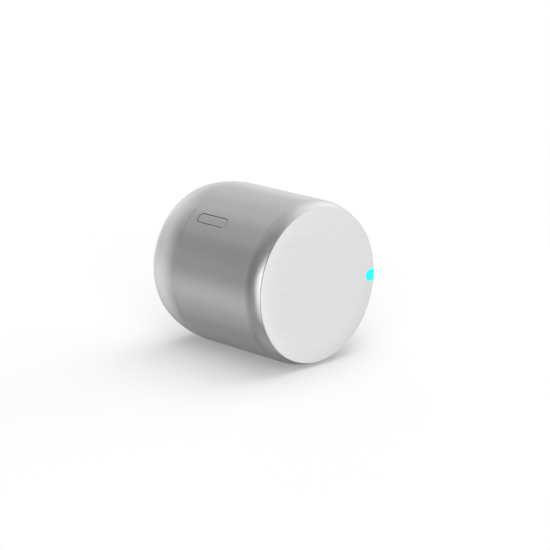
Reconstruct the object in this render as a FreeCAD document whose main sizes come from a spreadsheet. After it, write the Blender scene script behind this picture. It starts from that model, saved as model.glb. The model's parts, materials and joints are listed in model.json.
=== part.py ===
"""Smart lock: a motor-driven knob that clamps on the round neck of a door lock's cylinder.

Every sub-part is modelled upright, in its own local frame: the door face is the XY plane at
height 0, the front disc is at the top, local X is the row's X and local Y is the row's Z.
The placement UPRIGHT then lays it down, so that the row's +Y points into the door.
"""
import FreeCAD, Part
import math
import os
import re

import Sketcher
from FreeCAD import Placement, Rotation, Vector
from fcgear import fcgear, involute

# Tooth counts, and how many of each repeated piece there are
RING_TEETH = 72
DRIVE_PINION_TEETH = 12
DRIVE_GEAR_TEETH = 24
WHEEL_TEETH = 36
PINION_TEETH = 10
BALL_COUNT = 13

# Driving sizes in millimetres and degrees: name, value, what it measures
SIZES = [
    ("body_radius", 22.5, "outer radius of the sleeve and the collar"),
    ("body_length", 47.7, "door face to the flat of the front disc"),
    ("shoulder_inset", 1.2, "how far the sleeve draws in at its front edge"),
    ("shoulder_depth", 4.4, "length of the sleeve's rounded shoulder"),
    ("crown_drop", 0.7, "how far the front disc's rim lies behind its flat"),
    ("crown_width", 4.8, "width of the front disc's crowned rim"),
    ("rim_depth", 0.45, "straight side of the front disc's rim"),
    ("rim_gap", 0.1, "line between the front disc's rim and the sleeve"),
    ("cap_thickness", 1.6, "front disc's plate"),
    ("spigot_depth", 1.5, "how far the front disc's spigot goes below its plate"),
    ("spigot_wall", 1.25, "wall of that spigot"),
    ("sleeve_wall", 1.6, "wall of the sleeve"),
    ("seam_height", 14.3, "collar's front edge above the door face"),
    ("seam_gap", 0.1, "running gap between the collar and the sleeve"),
    ("dome_corner", 7.37, "radius of the dome's corner at the rear face"),
    ("dome_width", 8.65, "how far the dome draws in from the sleeve to the flat rear face"),
    ("collar_wall", 1.5, "wall of the collar round the ring gear"),
    ("mouth_wall", 1.2, "wall of the collar round the slide ring"),
    ("floor_height", 5.2, "inner floor of the collar above the door face"),
    ("pad_thickness", 0.8, "rubber pad on the rear face"),
    ("pad_inset", 0.9, "rubber pad from the adapter hub's neck"),
    ("pad_margin", 0.95, "rubber pad from the edge of the flat rear face"),
    ("slide_height", 1.0, "height of the slide ring at the seam"),
    ("slide_width", 1.3, "width of the slide ring at the seam"),
    ("snug", 0.03, "play between pieces that are fixed together"),
    ("running", 0.05, "play between a turning piece and its seat"),
    ("hub_flange_radius", 12.5, "flange of the adapter hub"),
    ("hub_flange_height", 1.4, "thickness of that flange"),
    ("neck_radius", 9.0, "adapter hub's neck in the collar's wall"),
    ("socket_radius", 7.0, "socket for the cylinder's round neck"),
    ("socket_depth", 6.5, "depth of that socket"),
    ("nose_radius", 7.5, "adapter hub's nose, which carries the bearing"),
    ("nose_wall", 1.7, "wall of that nose"),
    ("hub_shoulder", 0.7, "step that the inner race rests on"),
    ("bearing_height", 4.0, "width of the ball bearing"),
    ("bearing_depth", 3.0, "outer less inner radius of the ball bearing"),
    ("race_wall", 0.85, "wall of each race"),
    ("ball_radius", 1.0, "radius of a bearing ball"),
    ("cage_wall", 1.0, "radial wall of the ball cage"),
    ("cage_height", 2.6, "height of the ball cage"),
    ("bearing_base", 10.9, "rear face of the bearing above the door face"),
    ("housing_wall", 1.3, "wall of the bearing's housing"),
    ("retainer_height", 0.8, "thickness of the bearing's retainer"),
    ("circlip_height", 0.76, "thickness of the circlip"),
    ("circlip_width", 1.5, "radial width of the circlip"),
    ("groove_depth", 0.45, "depth of the circlip's groove"),
    ("nose_lip", 0.8, "hub's nose in front of the circlip"),
    ("web_clearance", 0.6, "hub's nose to the rotor plate"),
    ("web_thickness", 1.4, "rotor plate's web"),
    ("ring_flange", 1.2, "thickness of the ring gear's flange"),
    ("ring_height", 3.2, "height of the ring gear's teeth"),
    ("ring_wall", 0.78, "wall outside the ring gear's teeth"),
    ("pinion_margin", 0.3, "drive pinion's end clear of the ring gear's flange"),
    ("gear_module", 0.4, "module of the reduction gears"),
    ("gear_height", 2.0, "face width of the reduction gears"),
    ("layer_gap", 0.4, "gap between the layers of gears"),
    ("second_angle", 90.0, "way from the drive axle to the second wheel's axle"),
    ("first_angle", 160.0, "way from the second wheel's axle to the first one's"),
    ("motor_angle", 105.0, "way from the first wheel's axle to the motor"),
    ("axle_radius", 0.75, "fixed axle pins of the two wheels"),
    ("drive_radius", 1.2, "drive axle"),
    ("bush_wall", 0.65, "wall of the drive axle's bushes"),
    ("bush_height", 2.2, "height of the drive axle's bushes"),
    ("boss_wall", 0.7, "wall of the boss round those bushes"),
    ("boss_base", 10.2, "rear end of that boss above the door face"),
    ("motor_radius", 7.0, "motor can"),
    ("motor_wall", 0.8, "wall of the motor can"),
    ("motor_gap", 0.4, "motor's end to the board carrier"),
    ("magnet_thickness", 1.0, "radial thickness of the motor's magnets"),
    ("air_gap", 0.3, "gap between the magnets and the armature"),
    ("end_cap_height", 0.8, "motor's plastic end cap"),
    ("shaft_radius", 0.5, "motor shaft"),
    ("cover_thickness", 1.4, "gear cover plate"),
    ("cover_inset", 1.5, "gear cover plate's edge from the sleeve's bore"),
    ("post_radius", 1.5, "standoffs of the frame"),
    ("post_inset", 3.3, "standoffs' middle from the sleeve's bore"),
    ("ledge_height", 1.2, "board carrier's ledge"),
    ("ledge_width", 5.0, "width of that ledge"),
    ("carrier_wall", 0.75, "board carrier's wall round the board"),
    ("board_thickness", 1.0, "main board"),
    ("board_clearance", 2.5, "main board to the front disc's plate"),
    ("lug_radius", 2.2, "sleeve's lugs for the rotor plate's screws"),
    ("lug_inset", 2.0, "middle of those lugs from the sleeve's bore"),
    ("lug_height", 4.0, "length of the lugs"),
    ("battery_height", 25.0, "battery across the lock"),
    ("battery_inset", 7.9, "battery's right side from the sleeve's bore"),
    ("battery_gap", 1.4, "battery tray to the motor"),
    ("tray_wall", 0.8, "wall of the battery tray"),
    ("battery_pad", 0.5, "foam pad between the battery and the carrier"),
    ("coupling_radius", 5.6, "spindle coupling"),
    ("spindle_radius", 3.0, "bore for the lock's spindle"),
    ("key_width", 2.0, "key slot in that bore"),
    ("key_depth", 1.0, "depth of that slot"),
    ("coupling_margin", 0.8, "coupling's rear end in front of the socket"),
    ("coupling_floor", 1.8, "coupling's end wall against the rotor plate"),
    ("screw_head", 1.6, "head of the coupling screw"),
    ("led_width", 3.12, "light guide across the disc's rim"),
    ("led_length", 3.55, "light guide from the disc's edge inward"),
    ("led_offset", -0.72, "light guide's middle from the lock's level line"),
    ("button_angle", 134.2, "button's way round from +X towards the top"),
    ("button_length", 11.2, "button's window along the lock's axis"),
    ("button_width", 3.0, "button's window round the sleeve"),
    ("button_flange", 7.62, "button's hidden flange along the lock's axis"),
    ("button_gap", 0.15, "gap round the button"),
    ("button_proud", -0.05, "button's face from the sleeve's surface"),
    ("button_corner", 1.35, "corner radius of the button's window"),
    ("button_travel", 0.4, "how far the button goes in"),
    ("flange_drop", 0.9, "underside of the button's flange from the sleeve's bore"),
    ("flange_thickness", 0.5, "button's hidden flange"),
    ("stem_length", 0.35, "button's stem below that flange"),
    ("stem_radius", 0.9, "button's stem"),
    ("switch_height", 1.8, "tact switch"),
    ("switch_width", 3.6, "side of the tact switch"),
    ("switch_board", 0.8, "switch's board"),
    ("bracket_thickness", 1.0, "switch's bracket"),
    ("contact_length", 9.0, "charging insert along the lock's axis"),
    ("contact_width", 3.6, "charging insert round the sleeve"),
    ("contact_margin", 2.9, "charging insert's front end from the board carrier"),
    ("clamp_radius", 1.95, "clamp screw's thread"),
    ("clamp_height", 2.9, "clamp screw's axis above the door face"),
    ("clamp_length", 4.2, "length of the clamp screw"),
    ("clamp_margin", 0.2, "clamp screw's end from the cylinder socket"),
    ("clamp_key", 1.15, "corner radius of the clamp screw's hexagon socket"),
    ("cavity_margin", 0.2, "step in the collar's cavity in front of the ring gear"),
    ("hub_screw", 0.8, "shanks of the hub's and the ring gear's screws"),
    ("hub_head", 1.3, "heads of those screws"),
    ("hub_head_height", 0.8, "height of those heads"),
    ("hub_screw_shift", 0.25, "hub's screws outward from the middle of its flange"),
    ("ring_screw_shift", 2.1, "ring gear's screws outward from the hub's flange"),
    ("screw_floor", 1.0, "metal left below those screws' holes"),
    ("frame_screw", 0.7, "shanks of the screws in the standoffs"),
    ("frame_head", 1.2, "heads of those screws"),
    ("lug_screw", 0.8, "shanks of the screws in the sleeve's lugs"),
    ("lug_head", 1.4, "heads of those screws"),
    ("web_head_height", 0.9, "height of the screw heads behind the rotor plate"),
    ("retainer_screw", 0.35, "shanks of the bearing retainer's screws"),
    ("retainer_head", 0.6, "heads of those screws"),
    ("coupling_screw", 1.5, "shank of the coupling's screw"),
    ("coupling_head", 2.6, "head of that screw"),
    ("led_corner", 1.2, "light guide's inner corners"),
    ("led_play", 0.02, "play round the light guide"),
    ("contact_pin", 0.9, "bores of the two charging contacts"),
    ("contact_depth", 0.5, "how far the charging insert goes inside the sleeve's bore"),
    ("contact_sink", 0.05, "charging insert's face below the sleeve's surface"),
    ("motor_bush_radius", 1.2, "motor's front bush"),
    ("motor_screw", 0.6, "shanks of the motor's screws"),
    ("motor_screw_place", 4.8, "motor's screws from its axis"),
    ("commutator_radius", 1.5, "motor's commutator"),
]
SIZE_NAMES = [size[0] for size in SIZES]

# Places and sizes that follow from the driving ones
PLACES = {
    "rim_height": "body_length - crown_drop",
    "rim_base": "rim_height - rim_depth",
    "sleeve_top": "rim_base - rim_gap",
    "sleeve_base": "seam_height + seam_gap",
    "sleeve_inner": "body_radius - sleeve_wall",
    "cap_radius": "body_radius - shoulder_inset",
    "flat_radius": "cap_radius - crown_width",
    "crown_curve": "(crown_width ^ 2 + crown_drop ^ 2) / (2 * crown_drop)",
    "shoulder_curve": "(shoulder_depth ^ 2 + shoulder_inset ^ 2) / (2 * shoulder_inset)",
    "cap_inner": "body_length - cap_thickness",
    "lug_place": "sleeve_inner - lug_inset",
    "post_place": "sleeve_inner - post_inset",
    "cover_radius": "sleeve_inner - cover_inset",
    "battery_right": "sleeve_inner - battery_inset",
    "spigot_radius": "sleeve_inner - snug",
    "spigot_base": "cap_inner - spigot_depth",
    "board_top": "cap_inner - board_clearance",
    "board_base": "board_top - board_thickness",
    "carrier_base": "board_base - ledge_height",
    "carrier_radius": "sleeve_inner - snug",
    "board_radius": "carrier_radius - carrier_wall",
    "rear_radius": "body_radius - dome_width",
    "dome_curve": "(dome_width ^ 2 + (seam_height - dome_corner) ^ 2 - dome_corner ^ 2)"
                  " / (2 * (dome_width - dome_corner))",
    "dome_share": "dome_corner / (dome_curve - dome_corner)",
    "dome_joint_x": "rear_radius + dome_share * (dome_curve - dome_width)",
    "dome_joint_y": "dome_corner - dome_share * (seam_height - dome_corner)",
    "dome_bite": "dome_curve - sqrt(dome_curve ^ 2 - (seam_height - floor_height) ^ 2)",
    "ring_radius": "body_radius - dome_bite - collar_wall",
    "mouth_radius": "body_radius - mouth_wall",
    "slide_base": "seam_height - slide_height",
    "pad_inner": "neck_radius + pad_inset",
    "pad_outer": "rear_radius - pad_margin",
    "flange_top": "floor_height + hub_flange_height",
    "hub_screw_place": "(shoulder_radius + hub_flange_radius) / 2 + hub_screw_shift",
    "ring_screw_place": "hub_flange_radius + ring_screw_shift",
    "screw_reach": "floor_height - pad_thickness - screw_floor",
    "ring_flange_top": "floor_height + ring_flange",
    "ring_top": "ring_flange_top + ring_height",
    "ring_module": "(ring_radius - ring_wall) / (%d / 2 + 1.25)" % RING_TEETH,
    "drive_place": "ring_module * %d / 2" % (RING_TEETH - DRIVE_PINION_TEETH),
    "drive_x": "0",
    "drive_y": "-drive_place",
    "drive_reach": "gear_module * %d / 2" % (DRIVE_GEAR_TEETH + PINION_TEETH),
    "wheel_reach": "gear_module * %d / 2" % (WHEEL_TEETH + PINION_TEETH),
    "second_x": "drive_x + drive_reach * cos(second_angle)",
    "second_y": "drive_y + drive_reach * sin(second_angle)",
    "first_x": "second_x + wheel_reach * cos(first_angle)",
    "first_y": "second_y + wheel_reach * sin(first_angle)",
    "motor_x": "first_x + wheel_reach * cos(motor_angle)",
    "motor_y": "first_y + wheel_reach * sin(motor_angle)",
    "pinion_base": "ring_flange_top + pinion_margin",
    "pinion_top": "ring_top",
    "bearing_top": "bearing_base + bearing_height",
    "bearing_outer": "nose_radius + bearing_depth",
    "ball_place": "nose_radius + bearing_depth / 2",
    "ball_height": "bearing_base + bearing_height / 2",
    "shoulder_radius": "nose_radius + hub_shoulder",
    "nose_bore": "nose_radius - nose_wall",
    "groove_base": "bearing_top + snug",
    "groove_top": "groove_base + circlip_height",
    "nose_top": "groove_top + nose_lip",
    "housing_radius": "bearing_outer + housing_wall",
    "retainer_place": "bearing_outer + housing_wall / 2",
    "web_base": "nose_top + web_clearance",
    "web_top": "web_base + web_thickness",
    "retainer_base": "bearing_base - retainer_height",
    "third_base": "web_top + layer_gap",
    "third_top": "third_base + gear_height",
    "second_base": "third_top + layer_gap",
    "second_top": "second_base + gear_height",
    "first_base": "second_top + layer_gap",
    "first_top": "first_base + gear_height",
    "cover_base": "first_top + layer_gap",
    "cover_top": "cover_base + cover_thickness",
    "bush_radius": "drive_radius + running + bush_wall",
    "boss_radius": "bush_radius + boss_wall",
    "motor_top": "carrier_base - motor_gap",
    "can_top": "motor_top - end_cap_height",
    "magnet_outer": "motor_radius - motor_wall",
    "magnet_inner": "magnet_outer - magnet_thickness",
    "armature_radius": "magnet_inner - air_gap",
    "battery_left": "motor_x + motor_radius + battery_gap",
    "battery_middle": "(battery_left + battery_right) / 2",
    "battery_width": "battery_right - battery_left",
    "battery_base": "cover_top + tray_wall",
    "battery_top": "carrier_base - battery_pad",
    "coupling_base": "socket_depth + coupling_margin",
    "coupling_seat": "web_base - coupling_floor",
    "bore_top": "coupling_seat - screw_head",
    "button_outer": "body_radius + button_proud",
    "button_inner": "sleeve_inner + button_travel + running",
    "button_height": "web_top + layer_gap + button_flange / 2",
    "flange_base": "sleeve_inner - flange_drop",
    "stem_base": "flange_base - stem_length",
    "switch_top": "stem_base - button_travel - running",
    "switch_base": "switch_top - switch_height",
    "switch_board_base": "switch_base - switch_board",
    "plunger_base": "switch_top - button_travel",
    "led_inner": "cap_radius - led_length",
    "contact_height": "carrier_base - contact_margin - contact_length / 2",
}

UPRIGHT = Placement(Vector(0, 0, 0), Rotation(Vector(1, 0, 0), 90))

doc = FreeCAD.newDocument("SmartLock")
sheet = doc.addObject("Spreadsheet::Sheet", "Sizes")
for row, (alias, size, note) in enumerate(SIZES, start=1):
    sheet.set("A%d" % row, note)
    sheet.set("B%d" % row, str(size))
    sheet.setAlias("B%d" % row, alias)
doc.recompute()
nodes = []


def formula(text):
    """Write out a formula of the words above in terms of the sheet's cells."""
    def spell(match):
        word = match.group(0)
        if word in PLACES:
            return "(" + formula(PLACES[word]) + ")"
        if word in SIZE_NAMES:
            return "Sizes." + word
        return word
    return re.sub(r"[a-z_]+", spell, str(text))


def value(text):
    """What a formula comes to now."""
    return float(sheet.evalExpression(formula(text)))


def bind(item, name, text):
    """Tie one property to a formula."""
    item.setExpression(name, formula(text))


def node(item, label, placement=UPRIGHT):
    """Name a finished sub-part and lay it down in the row's frame."""
    item.Label = label
    item.Placement = placement
    nodes.append(item)
    return item


def turned_about(angle):
    """The upright placement, turned about the lock's axis by a formula's degrees."""
    return UPRIGHT.multiply(Placement(Vector(0, 0, 0), Rotation(Vector(0, 0, 1), value(angle))))


# Sketches and features

def new_body(name):
    return doc.addObject("PartDesign::Body", name + "_body")


def new_sketch(body, role, offset="0"):
    """A sketch on one of the body's own planes, moved off it by a formula."""
    sketch = body.newObject("Sketcher::SketchObject", body.Name + "_sketch")
    plane = next(item for item in body.Origin.OriginFeatures if item.Role == role)
    sketch.AttachmentSupport = [(plane, "")]
    sketch.MapMode = "FlatFace"
    bind(sketch, "AttachmentOffset.Base.z", offset)
    return sketch


def pin(sketch, kind, geometry, point, text):
    """Hold one coordinate of a sketch point at a formula."""
    index = sketch.addConstraint(Sketcher.Constraint(kind, -1, 1, geometry, point, value(text)))
    bind(sketch, "Constraints[%d]" % index, text)


def draw_outline(sketch, points):
    """A closed outline of (x, y) corners; a third entry is the radius of an arc to the next
    corner, above zero where its centre lies to the left of the way and below where right."""
    spots = [(value(point[0]), value(point[1])) for point in points]
    first = sketch.GeometryCount
    begins = []
    for index, point in enumerate(points):
        start = Vector(*spots[index], 0)
        end = Vector(*spots[(index + 1) % len(points)], 0)
        if len(point) == 2:
            sketch.addGeometry(Part.LineSegment(start, end), False)
            begins.append(1)
            continue
        radius = value(point[2])
        chord = end - start
        left = Vector(-chord.y, chord.x, 0).normalize()
        height = math.sqrt(max(radius ** 2 - chord.Length ** 2 / 4, 0))
        centre = (start + end) / 2 + left * math.copysign(height, radius)
        heads = (start, end) if radius > 0 else (end, start)
        angles = [math.atan2(head.y - centre.y, head.x - centre.x) for head in heads]
        circle = Part.Circle(centre, Vector(0, 0, 1), abs(radius))
        sketch.addGeometry(Part.ArcOfCircle(circle, *angles), False)
        begins.append(1 if radius > 0 else 2)
    for index, point in enumerate(points):
        after = (index + 1) % len(points)
        sketch.addConstraint(Sketcher.Constraint(
            "Coincident", first + index, 3 - begins[index], first + after, begins[after]))
        pin(sketch, "DistanceX", first + index, begins[index], point[0])
        pin(sketch, "DistanceY", first + index, begins[index], point[1])
        if len(point) == 3:
            bend = sketch.addConstraint(
                Sketcher.Constraint("Radius", first + index, abs(value(point[2]))))
            bind(sketch, "Constraints[%d]" % bend, "abs(%s)" % point[2])


def draw_circles(sketch, circles):
    """Circles of (x, y, radius)."""
    for x, y, radius in circles:
        centre = Vector(value(x), value(y), 0)
        index = sketch.addGeometry(Part.Circle(centre, Vector(0, 0, 1), value(radius)), False)
        pin(sketch, "DistanceX", index, 3, x)
        pin(sketch, "DistanceY", index, 3, y)
        bend = sketch.addConstraint(Sketcher.Constraint("Radius", index, value(radius)))
        bind(sketch, "Constraints[%d]" % bend, radius)


def turn_solid(body, points, angle=360):
    """Revolve an outline of (radius, height) corners about the upright axis."""
    sketch = new_sketch(body, "XZ_Plane")
    draw_outline(sketch, points)
    feature = body.newObject("PartDesign::Revolution", body.Name + "_turned")
    feature.Profile = sketch
    feature.ReferenceAxis = (sketch, ["V_Axis"])
    feature.Angle = angle
    return feature


def raise_solid(body, base, height, outline=None, circles=(), role="XY_Plane"):
    """Pad an outline or circles from a plane's offset, along its normal."""
    sketch = new_sketch(body, role, base)
    if outline:
        draw_outline(sketch, outline)
    draw_circles(sketch, circles)
    feature = body.newObject("PartDesign::Pad", body.Name + "_raised")
    feature.Profile = sketch
    bind(feature, "Length", height)
    return feature


def sink(body, base, depth, outline=None, circles=(), role="XY_Plane"):
    """Cut an outline or circles from a plane's offset, along its normal."""
    sketch = new_sketch(body, role, base)
    if outline:
        draw_outline(sketch, outline)
    draw_circles(sketch, circles)
    feature = body.newObject("PartDesign::Pocket", body.Name + "_cut")
    feature.Profile = sketch
    feature.Reversed = True
    bind(feature, "Length", depth)
    return feature


def repeat_round(body, feature, count):
    """Repeat one feature evenly round the body's upright axis."""
    pattern = body.newObject("PartDesign::PolarPattern", body.Name + "_pattern")
    axis = next(item for item in body.Origin.OriginFeatures if item.Role == "Z_Axis")
    pattern.Originals = [feature]
    pattern.Axis = (axis, [""])
    pattern.Angle = 360
    pattern.Occurrences = count
    body.Tip = pattern


def ring(inner, outer, base, top):
    """The outline of a plain ring."""
    return [(inner, base), (outer, base), (outer, top), (inner, top)]


def block(left, right, near, far):
    """A rectangle."""
    return [(left, near), (right, near), (right, far), (left, far)]


def rounded(middle_x, middle_y, width, height, corner):
    """A rectangle with round corners."""
    x, y, corner = "((%s) / 2)" % width, "((%s) / 2)" % height, "(%s)" % corner
    left, right = "%s - %s" % (middle_x, x), "%s + %s" % (middle_x, x)
    near, far = "%s - %s" % (middle_y, y), "%s + %s" % (middle_y, y)
    return [
        (left + " + " + corner, near), (right + " - " + corner, near, corner),
        (right, near + " + " + corner), (right, far + " - " + corner, corner),
        (right + " - " + corner, far), (left + " + " + corner, far, corner),
        (left, far + " - " + corner), (left, near + " + " + corner, corner),
    ]


def around(radius, angles):
    """Places on a circle about the lock's axis."""
    return [("(%s) * cos(%s)" % (radius, angle), "(%s) * sin(%s)" % (radius, angle))
            for angle in angles]


def turned(label, points, placement=UPRIGHT):
    """A sub-part that is one turned solid."""
    body = new_body(label)
    turn_solid(body, points)
    return node(body, label, placement)


def raised(label, base, height, outline=None, circles=(), placement=UPRIGHT, role="XY_Plane"):
    """A sub-part that is one padded solid."""
    body = new_body(label)
    raise_solid(body, base, height, outline, circles, role)
    return node(body, label, placement)


def group(label, body, spots, placement=UPRIGHT):
    """Copies of one body at (x, y) places, as one sub-part of separate solids."""
    links = []
    for x, y in spots:
        link = doc.addObject("App::Link", label + "_copy")
        link.LinkedObject = body
        bind(link, "Placement.Base.x", x)
        bind(link, "Placement.Base.y", y)
        links.append(link)
    whole = doc.addObject("Part::Compound", label + "_group")
    whole.Links = links
    return node(whole, label, placement)


def screws(label, spots, head_base, head_radius, head_height, shank_radius, shank_length, up):
    """Screws with round heads; the shank leaves the head upward or downward."""
    body = new_body(label)
    head_base, shank_length = "(%s)" % head_base, "(%s)" % shank_length
    head_top = "%s + %s" % (head_base, head_height)
    if up:
        tip = "%s + %s" % (head_top, shank_length)
        points = [("0", head_base), (head_radius, head_base), (head_radius, head_top),
                  (shank_radius, head_top), (shank_radius, tip), ("0", tip)]
        drive_base = "%s - 0.01" % head_base
    else:
        tip = "%s - %s" % (head_base, shank_length)
        points = [("0", tip), (shank_radius, tip), (shank_radius, head_base),
                  (head_radius, head_base), (head_radius, head_top), ("0", head_top)]
        drive_base = "%s - %s * 0.6" % (head_top, head_height)
    turn_solid(body, points)
    half = "%s * 0.5" % head_radius
    slot = [("%s * cos(%d)" % (half, angle), "%s * sin(%d)" % (half, angle))
            for angle in range(0, 360, 60)]
    sink(body, drive_base, "%s * 0.6 + 0.01" % head_height, slot)
    return group(label, body, spots)


# Base: what stays fixed on the lock's cylinder

HUB_SCREW_ANGLES = (90, 210, 330)
RING_SCREW_ANGLES = (45, 135, 225, 315)


def make_rear_collar():
    """The domed collar: a bored wall at the door and an open cavity towards the sleeve."""
    body = new_body("rear_collar")
    step = "ring_top + cavity_margin"
    turn_solid(body, [
        ("neck_radius + snug", "0"), ("pad_inner - snug", "0"),
        ("pad_inner - snug", "pad_thickness"), ("pad_outer + snug", "pad_thickness"),
        ("pad_outer + snug", "0"), ("rear_radius", "0", "dome_corner"),
        ("dome_joint_x", "dome_joint_y", "dome_curve"), ("body_radius", "seam_height"),
        ("mouth_radius", "seam_height"), ("mouth_radius", "slide_base"),
        ("mouth_radius - slide_width", "slide_base"), ("mouth_radius - slide_width", step),
        ("ring_radius + snug", step), ("ring_radius + snug", "floor_height"),
        ("neck_radius + snug", "floor_height"),
    ])
    holes = around("hub_screw_place", HUB_SCREW_ANGLES) + around("ring_screw_place", RING_SCREW_ANGLES)
    sink(body, "floor_height - screw_reach", "screw_reach",
         circles=[(x, y, "hub_screw + snug") for x, y in holes])
    sink(body, "neck_radius - 0.5", "body_radius",
         circles=[("0", "clamp_height", "clamp_radius + running")], role="XZ_Plane")
    node(body, "rear_collar")


def make_adapter_hub():
    """The steel hub: a socket for the cylinder's neck, a flange, and a nose for the bearing."""
    body = new_body("adapter_hub")
    turn_solid(body, [
        ("socket_radius", "0"), ("neck_radius", "0"), ("neck_radius", "floor_height"),
        ("hub_flange_radius", "floor_height"), ("hub_flange_radius", "flange_top"),
        ("shoulder_radius", "flange_top"), ("shoulder_radius", "bearing_base"),
        ("nose_radius", "bearing_base"), ("nose_radius", "groove_base"),
        ("nose_radius - groove_depth", "groove_base"), ("nose_radius - groove_depth", "groove_top"),
        ("nose_radius", "groove_top"), ("nose_radius", "nose_top"), ("nose_bore", "nose_top"),
        ("nose_bore", "socket_depth"), ("socket_radius", "socket_depth"),
    ])
    spots = around("hub_screw_place", HUB_SCREW_ANGLES)
    sink(body, "floor_height - 0.1", "hub_flange_height + 0.2",
         circles=[(x, y, "hub_screw + snug") for x, y in spots])
    sink(body, "flange_top - hub_head_height", "hub_head_height",
         circles=[(x, y, "hub_head + snug") for x, y in spots])
    sink(body, "socket_radius - 1", "neck_radius - socket_radius + 2",
         circles=[("0", "clamp_height", "clamp_radius + snug")], role="XZ_Plane")
    node(body, "adapter_hub")


def make_clamp_screw():
    """The grub screw that grips the cylinder's neck, with its hexagon socket outward."""
    body = new_body("clamp_screw")
    start = "socket_radius + clamp_margin"
    raise_solid(body, start, "clamp_length", circles=[("0", "clamp_height", "clamp_radius")],
                role="XZ_Plane")
    hexagon = [("clamp_key * cos(%d)" % angle, "clamp_height + clamp_key * sin(%d)" % angle)
               for angle in range(0, 360, 60)]
    sink(body, start + " + clamp_length / 2", "clamp_length", hexagon, role="XZ_Plane")
    node(body, "clamp_screw")


def gear_face(teeth, module, shift=-0.08):
    """The face inside an external gear's outline, with a tooth on +X."""
    drawing = fcgear.FCWireBuilder()
    involute.CreateExternalGear(drawing, module, teeth, 20, split=True, shiftCoeff=shift)
    return Part.Face(Part.Wire([curve.toShape() for curve in drawing.wire]))


def gear_solid(teeth, module, place, base, height, bore, tooth_angle):
    """A spur gear standing at (x, y), with one tooth pointing along tooth_angle."""
    face = gear_face(teeth, module)
    face.rotate(Vector(0, 0, 0), Vector(0, 0, 1), tooth_angle)
    blank = face.extrude(Vector(0, 0, height))
    blank.translate(Vector(place[0], place[1], base))
    return blank.cut(Part.makeCylinder(bore, height + 2, Vector(place[0], place[1], base - 1)))


def coded(label, shape):
    """A sub-part whose shape is worked out in code from the sheet's sizes."""
    item = doc.addObject("Part::Feature", label + "_shape")
    item.Shape = shape
    return node(item, label)


def make_ring_gear():
    """The fixed internal ring gear on its screwed flange, with a gap towards the drive pinion."""
    module = value("ring_module")
    drawing = fcgear.FCWireBuilder()
    involute.CreateInternalGear(drawing, module, RING_TEETH, 20, split=True, addCoeff=0.7)
    hollow = Part.Face(Part.Wire([curve.toShape() for curve in drawing.wire]))
    hollow.rotate(Vector(0, 0, 0), Vector(0, 0, 1), -90 + 180 / RING_TEETH)
    base, flange_top, top = [value(text) for text in ("floor_height", "ring_flange_top", "ring_top")]
    radius = value("ring_radius")
    solid = Part.makeCylinder(radius, top - base, Vector(0, 0, base))
    solid = solid.cut(Part.makeCylinder(value("hub_flange_radius + snug"), top, Vector(0, 0, 0)))
    teeth = hollow.extrude(Vector(0, 0, top - flange_top + 1))
    teeth.translate(Vector(0, 0, flange_top))
    solid = solid.cut(teeth)
    for x, y in around("ring_screw_place", RING_SCREW_ANGLES):
        place = Vector(value(x), value(y), base - 1)
        solid = solid.cut(Part.makeCylinder(value("hub_screw + snug"), 3, place))
        head = Vector(place.x, place.y, flange_top - value("hub_head_height"))
        solid = solid.cut(Part.makeCylinder(value("hub_head + snug"), 2, head))
    coded("ring_gear", solid)


def race(label, inner, outer):
    """A bearing race with the balls' groove."""
    body = new_body(label)
    turn_solid(body, ring(inner, outer, "bearing_base", "bearing_top"))
    sketch = new_sketch(body, "XZ_Plane")
    draw_circles(sketch, [("ball_place", "ball_height", "ball_radius + snug")])
    groove = body.newObject("PartDesign::Groove", body.Name + "_groove")
    groove.Profile = sketch
    groove.ReferenceAxis = (sketch, ["V_Axis"])
    groove.Angle = 360
    return node(body, label)


def make_circlip():
    """The open circlip in the hub's groove."""
    body = new_body("bearing_circlip")
    inner = "nose_radius - groove_depth + snug"
    turn_solid(body, ring(inner, inner + " + circlip_width", "groove_base + snug / 2",
                          "groove_top - snug / 2"))
    sink(body, "groove_base - 1", "circlip_height + 2", block("-1.2", "1.2", "3", "12"))
    node(body, "bearing_circlip")


def make_base():
    make_rear_collar()
    turned("door_pad", ring("pad_inner", "pad_outer", "0", "pad_thickness"))
    make_adapter_hub()
    screws("hub_screws", around("hub_screw_place", HUB_SCREW_ANGLES),
           "flange_top - hub_head_height", "hub_head", "hub_head_height", "hub_screw",
           "screw_reach + 0.4", up=False)
    make_clamp_screw()
    make_ring_gear()
    screws("ring_gear_screws", around("ring_screw_place", RING_SCREW_ANGLES),
           "ring_flange_top - hub_head_height", "hub_head", "hub_head_height", "hub_screw",
           "screw_reach + 0.2", up=False)
    race("bearing_inner_race", "nose_radius", "nose_radius + race_wall")
    make_circlip()
    turned("seam_slide_ring", ring("mouth_radius - slide_width + snug", "mouth_radius - snug",
                                   "slide_base", "seam_height"))


# Bearing's balls and cage, which roll round at about half the knob's speed

def make_bearing_balls():
    ball = doc.addObject("Part::Sphere", "bearing_ball")
    bind(ball, "Radius", "ball_radius")
    bind(ball, "Placement.Base.z", "ball_height")
    spots = around("ball_place", [index * 360 / BALL_COUNT for index in range(BALL_COUNT)])
    whole = group("bearing_balls", ball, spots)
    for link in whole.Links:
        bind(link, "Placement.Base.z", "ball_height")


def make_bearing_cage():
    """A ring with a round pocket for each ball."""
    half = "cage_wall / 2"
    body = new_body("bearing_cage")
    turn_solid(body, ring("ball_place - " + half, "ball_place + " + half,
                          "ball_height - cage_height / 2", "ball_height + cage_height / 2"))
    pocket = sink(body, "nose_radius", "bearing_depth",
                  circles=[("0", "ball_height", "ball_radius + running")], role="YZ_Plane")
    repeat_round(body, pocket, BALL_COUNT)
    node(body, "bearing_cage")


# Knob: the sleeve and what turns with it

FRAME_ANGLES = (115, 245, 20)
LUG_ANGLES = (60, 180, 300)
RETAINER_ANGLES = (60, 180, 300)
MOTOR_SCREW_ANGLES = (30, 210)


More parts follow.
